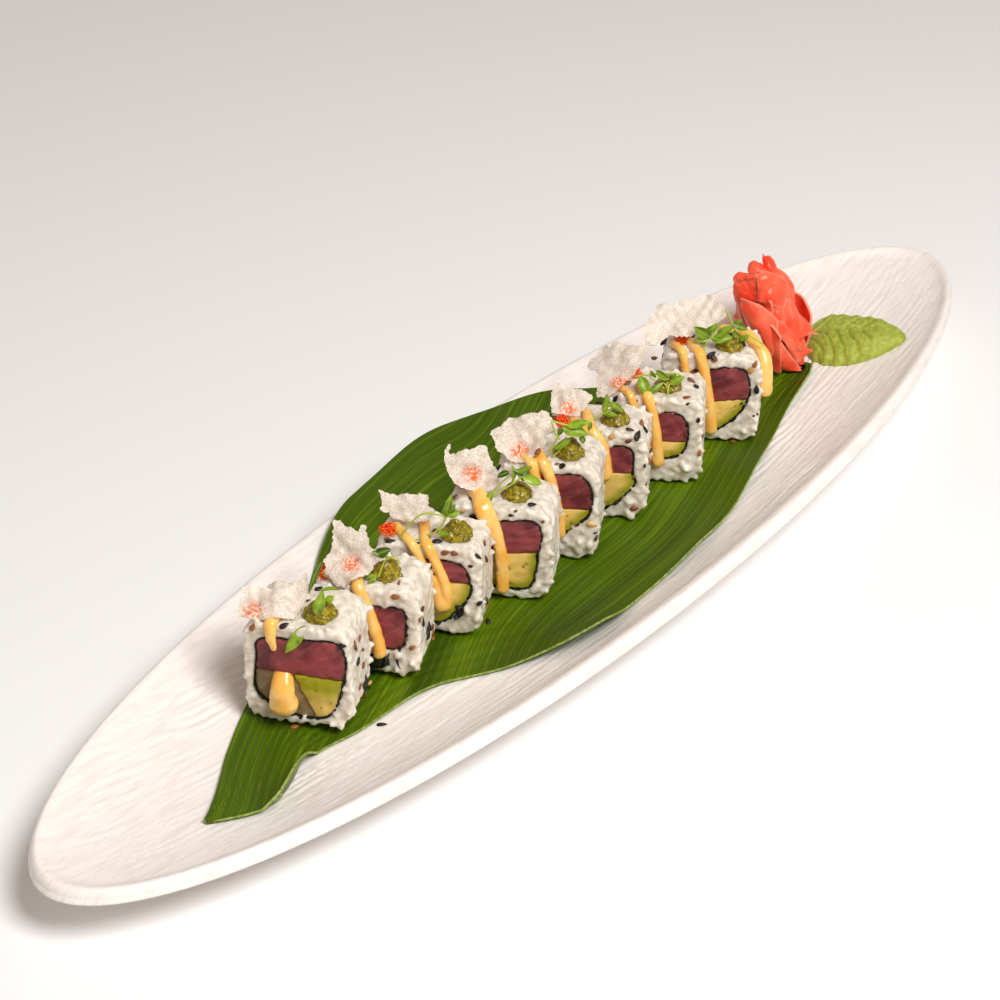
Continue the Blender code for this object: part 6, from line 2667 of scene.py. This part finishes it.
SEEDS = (
    (NEAR_HALF, (
        # first roll
        (230, 640, B, 50, 0.9), (367, 636, K, 25, 1.05), (470, 527, K, 60, 0.6), (620, 720, K, 0, 0.9),
        (692, 690, B, -30, 0.8), (672, 715, B, 90, 0.8), (707, 740, B, -50, 0.6), (685, 790, K, 60, 1.0),
        (708, 805, B, 20, 0.9), (720, 865, K, 75, 1.2), (715, 890, K, 100, 1.1), (695, 900, B, 90, 0.9),
        (710, 940, B, 50, 0.9), (740, 885, G, 90, 0.8), (765, 795, G, 80, 0.7), (727, 910, K, 60, 0.9),
        # second roll
        (517, 475, K, 40, 0.9), (853, 508, B, 10, 1.0), (868, 450, B, 80, 0.7), (900, 690, B, 50, 0.8),
        (925, 730, B, 30, 0.8), (965, 562, B, 85, 0.9), (970, 618, K, 40, 1.0), (992, 640, K, 85, 1.2),
        (990, 672, K, 80, 1.2), (1010, 640, B, 90, 0.8), (1012, 665, B, 60, 0.7), (1015, 690, B, 90, 0.7),
        (955, 610, B, -50, 0.7), (968, 595, G, 80, 0.6),
        # third roll
        (830, 268, K, 30, 1.2), (815, 258, B, 60, 0.8), (955, 280, K, 10, 0.8), (1035, 270, K, 10, 1.1),
        (1030, 222, B, 30, 0.9), (1070, 315, B, 20, 1.0), (1110, 320, B, 0, 0.9), (1210, 335, K, 0, 0.9),
        (1180, 375, K, 20, 0.6), (1237, 275, B, 90, 0.8), (1245, 345, B, 80, 0.8), (1218, 535, K, 40, 0.8),
        (1247, 525, B, 85, 0.8), (1247, 550, B, 70, 0.8), (1255, 618, K, 85, 0.9),
        # fourth roll
        (1195, 160, K, -20, 1.1), (1145, 135, G, 20, 0.7), (1110, 75, B, 60, 0.8), (1185, 83, K, 20, 0.8),
        (1355, 153, K, 0, 0.6), (1447, 108, K, 30, 1.0), (1375, 135, B, 10, 0.5), (1495, 180, B, 60, 0.6),
    )),
    (FAR_HALF, (
        # fifth roll
        (140, 700, K, 10, 0.9), (440, 695, K, -20, 1.1), (580, 970, G, -20, 1.2), (597, 1035, B, 80, 0.8),
        (595, 1010, K, 60, 0.5), (415, 685, B, 30, 0.6), (325, 625, B, 70, 1.0), (330, 655, G, 60, 1.0),
        # sixth roll
        (405, 465, B, 20, 0.8), (675, 553, G, 30, 0.9), (760, 523, B, 0, 1.0), (795, 550, K, 50, 1.4),
        (755, 573, B, 30, 0.9), (780, 895, B, 20, 1.1), (835, 778, B, 60, 0.5), (830, 690, K, 80, 0.5),
        (620, 400, K, 10, 1.2), (690, 375, K, 40, 1.0),
        # seventh roll
        (770, 370, K, 50, 1.1), (750, 300, B, 40, 1.0), (778, 385, K, 10, 1.0), (875, 183, B, 20, 0.9),
        (1075, 318, K, 20, 1.0), (1052, 290, B, -45, 1.1), (1030, 370, B, 0, 1.0), (1035, 398, K, 30, 0.5),
        (1085, 475, K, 80, 0.8), (1020, 200, B, 10, 0.9), (830, 520, K, 85, 1.0), (815, 490, B, 85, 0.9),
        (1090, 630, B, 80, 0.8), (1103, 550, B, 85, 0.7), (1112, 625, G, 70, 0.7), (870, 395, K, 0, 0.9),
        # eighth roll
        (928, 103, K, 20, 1.4), (1050, 88, K, 30, 1.2), (1095, 180, K, 60, 0.9), (1145, 165, K, 30, 1.3),
        (1155, 178, K, -30, 1.1), (1160, 188, B, 10, 1.0), (1335, 238, G, 40, 1.1), (1362, 330, K, 85, 1.1),
        (1300, 112, K, 60, 0.9), (1365, 447, B, -20, 0.5), (1255, 575, B, 10, 1.1), (1355, 210, B, 70, 0.9),
        (1085, 165, B, 20, 0.9), (1348, 455, K, 0, 0.4), (1290, 395, K, 60, 0.4),
    )),
    (Enlargement(0, 0, 1), ((382, 725, K, 20, 1.1), (295, 727, B, 40, 1.1))),
)

# A blade's last number is how much painted shade it gets.
CRESS = (
    (
        Sprig(SECOND_ROLL, (
            Blade((165, 1292), (240, 1062), 120, 0.1), Blade((215, 1056), (412, 1044), 52, 0.35),
            Blade((275, 1160), (356, 1110), 80, 0.0),
        ), ((((170, 1290), (200, 1180), (215, 1060))),)),
        Sprig(FIRST_ROLL, (Blade((652, 572), (483, 808), 105, 0.05),)),
    ),
    (
        Sprig(SECOND_ROLL, (
            Blade((790, 668), (948, 615), 110, 0.9), Blade((905, 690), (750, 640), 60, 0.6),
            Blade((818, 905), (648, 916), 52, 0.1), Blade((800, 915), (708, 975), 55, 0.25),
            Blade((225, 755), (88, 1085), 62, 0.8),
        ), (((900, 690), (880, 745), (840, 850), (822, 902)), ((880, 745), (940, 702), (1005, 708), (1044, 765)))),
    ),
    (
        Sprig(NEAR_HALF, (
            Blade((1070, 150), (1095, 62), 34, 0.3), Blade((1075, 150), (1132, 140), 40, 0.2),
            Blade((1080, 145), (1112, 105), 26, 0.5), Blade((1070, 160), (1068, 110), 30, 0.4),
            Blade((1040, 232), (1088, 238), 26, 0.1), Blade((1005, 240), (975, 262), 24, 0.5),
        ), (
            ((870, 256), (912, 196), (960, 152), (1010, 146), (1072, 160)),
            ((880, 262), (960, 258), (1010, 238), (1050, 200), (1075, 160)),
            ((1072, 160), (1050, 205), (1040, 232)),
        )),
    ),
    (
        Sprig(MIDDLE_ROLLS, (
            Blade((412, 810), (410, 636), 66, 0.15), Blade((462, 712), (612, 655), 66, 0.35),
            Blade((512, 745), (706, 826), 92, 0.0), Blade((385, 705), (268, 758), 66, 0.95),
            Blade((205, 905), (165, 1032), 62, 0.4), Blade((500, 760), (560, 790), 60, 0.8),
            Blade((430, 690), (520, 740), 60, 0.9),
        ), (
            ((200, 930), (290, 830), (380, 745)),
            ((212, 946), (330, 876), (430, 812), (515, 748)),
            ((412, 800), (440, 810)),
        )),
    ),
    (
        Sprig(MIDDLE_ROLLS, (
            Blade((948, 262), (1190, 212), 84, 0.05), Blade((902, 284), (1164, 336), 120, 0.15),
            Blade((1088, 350), (1112, 424), 60, 0.6), Blade((995, 374), (806, 492), 66, 0.35),
            Blade((905, 275), (862, 345), 50, 0.85), Blade((1190, 215), (1160, 300), 40, 0.5),
        ), (
            ((800, 200), (870, 226), (952, 246)),
            ((802, 225), (836, 320), (876, 384)),
            ((900, 290), (840, 400), (768, 548)),
            ((940, 370), (890, 480), (812, 552)),
        )),
    ),
    (
        Sprig(MIDDLE_ROLLS, (
            Blade((1310, 130), (1345, -60), 66, 0.1), Blade((1380, 22), (1498, 116), 62, 0.25),
            Blade((1310, 140), (1440, 150), 70, 0.3), Blade((1340, 60), (1420, 20), 40, 0.4),
        ), (((1150, 235), (1200, 196), (1290, 140), (1372, 108)), ((1372, 108), (1390, 60), (1380, 20)))),
    ),
    (
        Sprig(LAST_ROLL, (
            Blade((150, 834), (278, 918), 76, 0.3), Blade((272, 962), (412, 888), 76, 0.15),
            Blade((0, 890), (76, 1086), 105, 0.2), Blade((212, 948), (66, 1062), 56, 0.35),
            Blade((96, 840), (150, 900), 36, 0.7), Blade((300, 870), (330, 905), 40, 0.6),
        ), (
            ((-40, 890), (60, 876), (200, 866), (330, 862), (408, 900)),
            ((95, 850), (98, 900), (130, 925)),
            ((212, 950), (240, 972), (256, 1040), (240, 1192)),
            ((272, 962), (258, 1000), (256, 1060)),
        )),
    ),
    (
        Sprig(LAST_ROLL, (
            Blade((655, 525), (498, 432), 105, 0.4), Blade((650, 530), (498, 556), 60, 0.2),
            Blade((600, 500), (728, 402), 60, 0.25), Blade((702, 532), (866, 424), 84, 0.3),
            Blade((655, 545), (858, 528), 90, 0.15), Blade((858, 400), (988, 462), 66, 0.6),
            Blade((860, 470), (924, 532), 60, 0.4), Blade((925, 560), (1012, 506), 46, 0.2),
            Blade((870, 395), (945, 360), 40, 0.35), Blade((560, 540), (590, 600), 50, 0.3),
        ), (
            ((790, 284), (822, 330), (852, 410), (884, 484)),
            ((650, 525), (690, 480), (722, 410)),
            ((610, 570), (596, 620), (590, 662)),
            ((975, 490), (1060, 545), (1144, 602)),
            ((655, 530), (700, 532)),
        )),
    ),
)

GINGER = (
    GingerSlice((((285, 485, 6), (360, 510, 8.5), (450, 545, 9), (555, 640, 8.5)),
                 ((300, 590, 7), (380, 640, 10), (460, 680, 11), (560, 760, 10)),
                 ((360, 740, 7), (440, 790, 10.5), (520, 830, 11), (640, 880, 9.5)),
                 ((440, 870, 6), (510, 910, 9.5), (590, 950, 10), (700, 960, 8.5)),
                 ((530, 1000, 5), (600, 1022, 7.5), (670, 1030, 8), (745, 1050, 7.5)))),
    GingerSlice((((245, 345, 3), (300, 360, 4), (360, 340, 5), (412, 322, 6)),
                 ((238, 420, 3), (290, 430, 5), (350, 420, 6), (408, 400, 7)),
                 ((250, 500, 3), (290, 500, 5), (350, 500, 6.5), (400, 500, 7.5)),
                 ((290, 600, 2), (300, 580, 4), (340, 560, 5), (390, 540, 6)))),
    GingerSlice((((238, 400, 0), (262, 410, 2), (290, 440, 4)),
                 ((256, 520, 0), (276, 530, 2), (300, 560, 4)),
                 ((262, 590, -1), (290, 620, 1), (330, 660, 4)),
                 ((245, 612, -2), (300, 650, 0), (370, 730, 4)),
                 ((300, 680, -2), (360, 760, 1), (440, 850, 4)))),
    GingerSlice((((400, 318, 6), (460, 296, 5), (530, 310, 4), (600, 340, 3)),
                 ((410, 380, 8), (460, 370, 8), (510, 375, 7), (545, 385, 5)),
                 ((412, 440, 8.5), (440, 440, 9), (470, 430, 8.5), (500, 425, 7)),
                 ((405, 505, 8), (420, 500, 8.5), (435, 490, 8.5), (455, 480, 8)))),
    GingerSlice((((245, 325, 1), (285, 303, 1), (340, 312, 3), (410, 318, 5)),
                 ((234, 345, 2.5), (285, 335, 3.5), (345, 335, 5), (412, 330, 6.5)),
                 ((243, 372, 2), (290, 372, 4), (350, 360, 5), (405, 345, 6)))),
    GingerSlice((((350, 240, -2), (382, 217, -2), (415, 225, -2), (445, 240, -1)),
                 ((343, 275, 0), (385, 255, 1), (425, 260, 1), (465, 275, 1)),
                 ((345, 310, 2), (390, 305, 3), (430, 300, 3), (480, 300, 3)))),
    GingerSlice((((448, 168, -3), (456, 185, -3), (490, 186, -3), (528, 212, -3)),
                 ((447, 225, -2), (480, 225, -1), (515, 240, -1), (545, 262, -2)),
                 ((470, 290, 0), (505, 290, 1), (540, 300, 0), (575, 300, -1)),
                 ((500, 330, 1), (540, 335, 1), (580, 335, 0), (608, 335, -1)))),
    GingerSlice((((520, 350, 4), (560, 345, 3), (600, 355, 1), (632, 375, -1)),
                 ((490, 420, 7), (550, 410, 6), (610, 410, 3), (655, 432, -1)),
                 ((430, 490, 8), (520, 470, 8), (600, 470, 4), (652, 480, 0)),
                 ((420, 505, 8), (520, 540, 8), (590, 560, 5), (640, 560, 1)))),
    GingerSlice((((412, 500, 6.5), (480, 480, 7), (560, 480, 6), (610, 490, 4)),
                 ((430, 535, 6), (500, 540, 7), (560, 550, 6.5), (610, 560, 4)),
                 ((500, 575, 6.5), (540, 590, 7.5), (580, 610, 7), (620, 620, 5)),
                 ((545, 640, 7.5), (575, 650, 8), (600, 660, 7), (640, 680, 5)))),
    GingerSlice((((600, 490, 4), (625, 480, 2), (645, 485, 0), (655, 500, -2)),
                 ((585, 590, 7), (620, 570, 5), (660, 570, 2), (695, 585, -2)),
                 ((610, 690, 8), (660, 670, 6), (710, 660, 3), (755, 640, -2)),
                 ((680, 770, 7), (730, 745, 6), (770, 720, 3), (783, 690, -1)),
                 ((720, 780, 6), (760, 745, 5), (800, 738, 3), (842, 738, 1)))),
    GingerSlice((((552, 640, 8.5), (590, 650, 8), (620, 680, 7), (645, 700, 6)),
                 ((545, 740, 9.5), (590, 745, 9), (640, 760, 8), (740, 770, 4)),
                 ((600, 800, 9.5), (650, 810, 9), (700, 830, 8), (755, 830, 3)),
                 ((640, 870, 9), (680, 880, 8.5), (720, 880, 6), (802, 862, 2)),
                 ((690, 945, 8), (705, 935, 7), (725, 915, 5), (755, 890, 2)))),
    GingerSlice((((690, 960, 7), (715, 975, 6), (742, 968, 4)),
                 ((660, 1000, 7.5), (700, 1010, 7), (740, 1000, 5)),
                 ((640, 1025, 7.5), (690, 1035, 7.5), (745, 1048, 6)))),
)


def main() -> None:
    """Builds the platter and everything on it, then the studio."""
    logging.basicConfig(level=logging.INFO, format="%(message)s")
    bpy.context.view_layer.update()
    platter = Platter()
    platter_body = platter.build(Stoneware().make())
    underside = GreenLeaf("leaf_underside", "#66801A", "#9AAE48").make()
    leaf_body = LeafLiner().build(platter, [GreenLeaf().make(), underside, LeafEdge().make()])
    grain = ball(2)
    rice, seaweed, sauce = CookedRice().make(), Seaweed().make(), SpicySauce().make()
    fillings = {
        "tuna": FishFlesh().make(),
        "pale_fish": FishFlesh("raw_pale_fish", "#7C6848", "#A8926A", "#C9BEAE").make(),
        "avocado": Avocado().make(),
    }
    crisp, relish = PuffedCrisp().make(), GreenRelish().make()
    rolls, below = [], []
    for row, dabs, wafer, heap in zip(ROLLS, SAUCES, CRISPS, RELISHES):
        number, x, y, turn, width, height, length, hole, split, wedge = row
        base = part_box(f"rice_{number}")[0].z / MM
        seat, flaps = Seat(x, y, base, turn), FLAPS.get(number, ())
        roll = Roll(number, seat, width, height, length, hole, split, wedge, FRINGES.get(number, 3), flaps)
        roll.build_rice(grain, rice)
        roll.build_seaweed(seaweed)
        roll.build_fillings(fillings)
        Sauce(dabs).build(roll, sauce)
        below += [roll.rice, *roll.filling_bodies, wafer.build(roll, crisp), heap.build(roll, relish)]
        rolls.append(roll)
    below.append(build_roe(rolls, ROE_HEAPS, FishRoe().make()))
    below += [leaf_body, platter_body]
    studio = Studio()
    ground = join([Body(body.points, body.faces) for body in below]).tree()
    skins = {kind: SesameSkin(f"{kind.name.lower()}_sesame_skin", *kind.value).make() for kind in SeedKind}
    SeedSprinkle().build(rolls, studio, ground, SEEDS, skins)
    cress = CressLeaf().make()
    for roll, heap, sprigs in zip(rolls, RELISHES, CRESS):
        bodies = [body for sprig in sprigs for body in sprig.bodies(roll, heap, studio, ground)]
        make_piece(f"cress_sprig_{roll.number}", join(bodies), [cress], (f"sprig_{roll.number}",))
    GingerRose(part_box("ginger")[0].z / MM, FAR_END, GINGER).build(studio, PickledGinger().make())
    PasteLeaf().build(platter, HorseradishPaste().make())
    studio.build(PaperFloor().make())


if __name__ == "__main__":
    main()
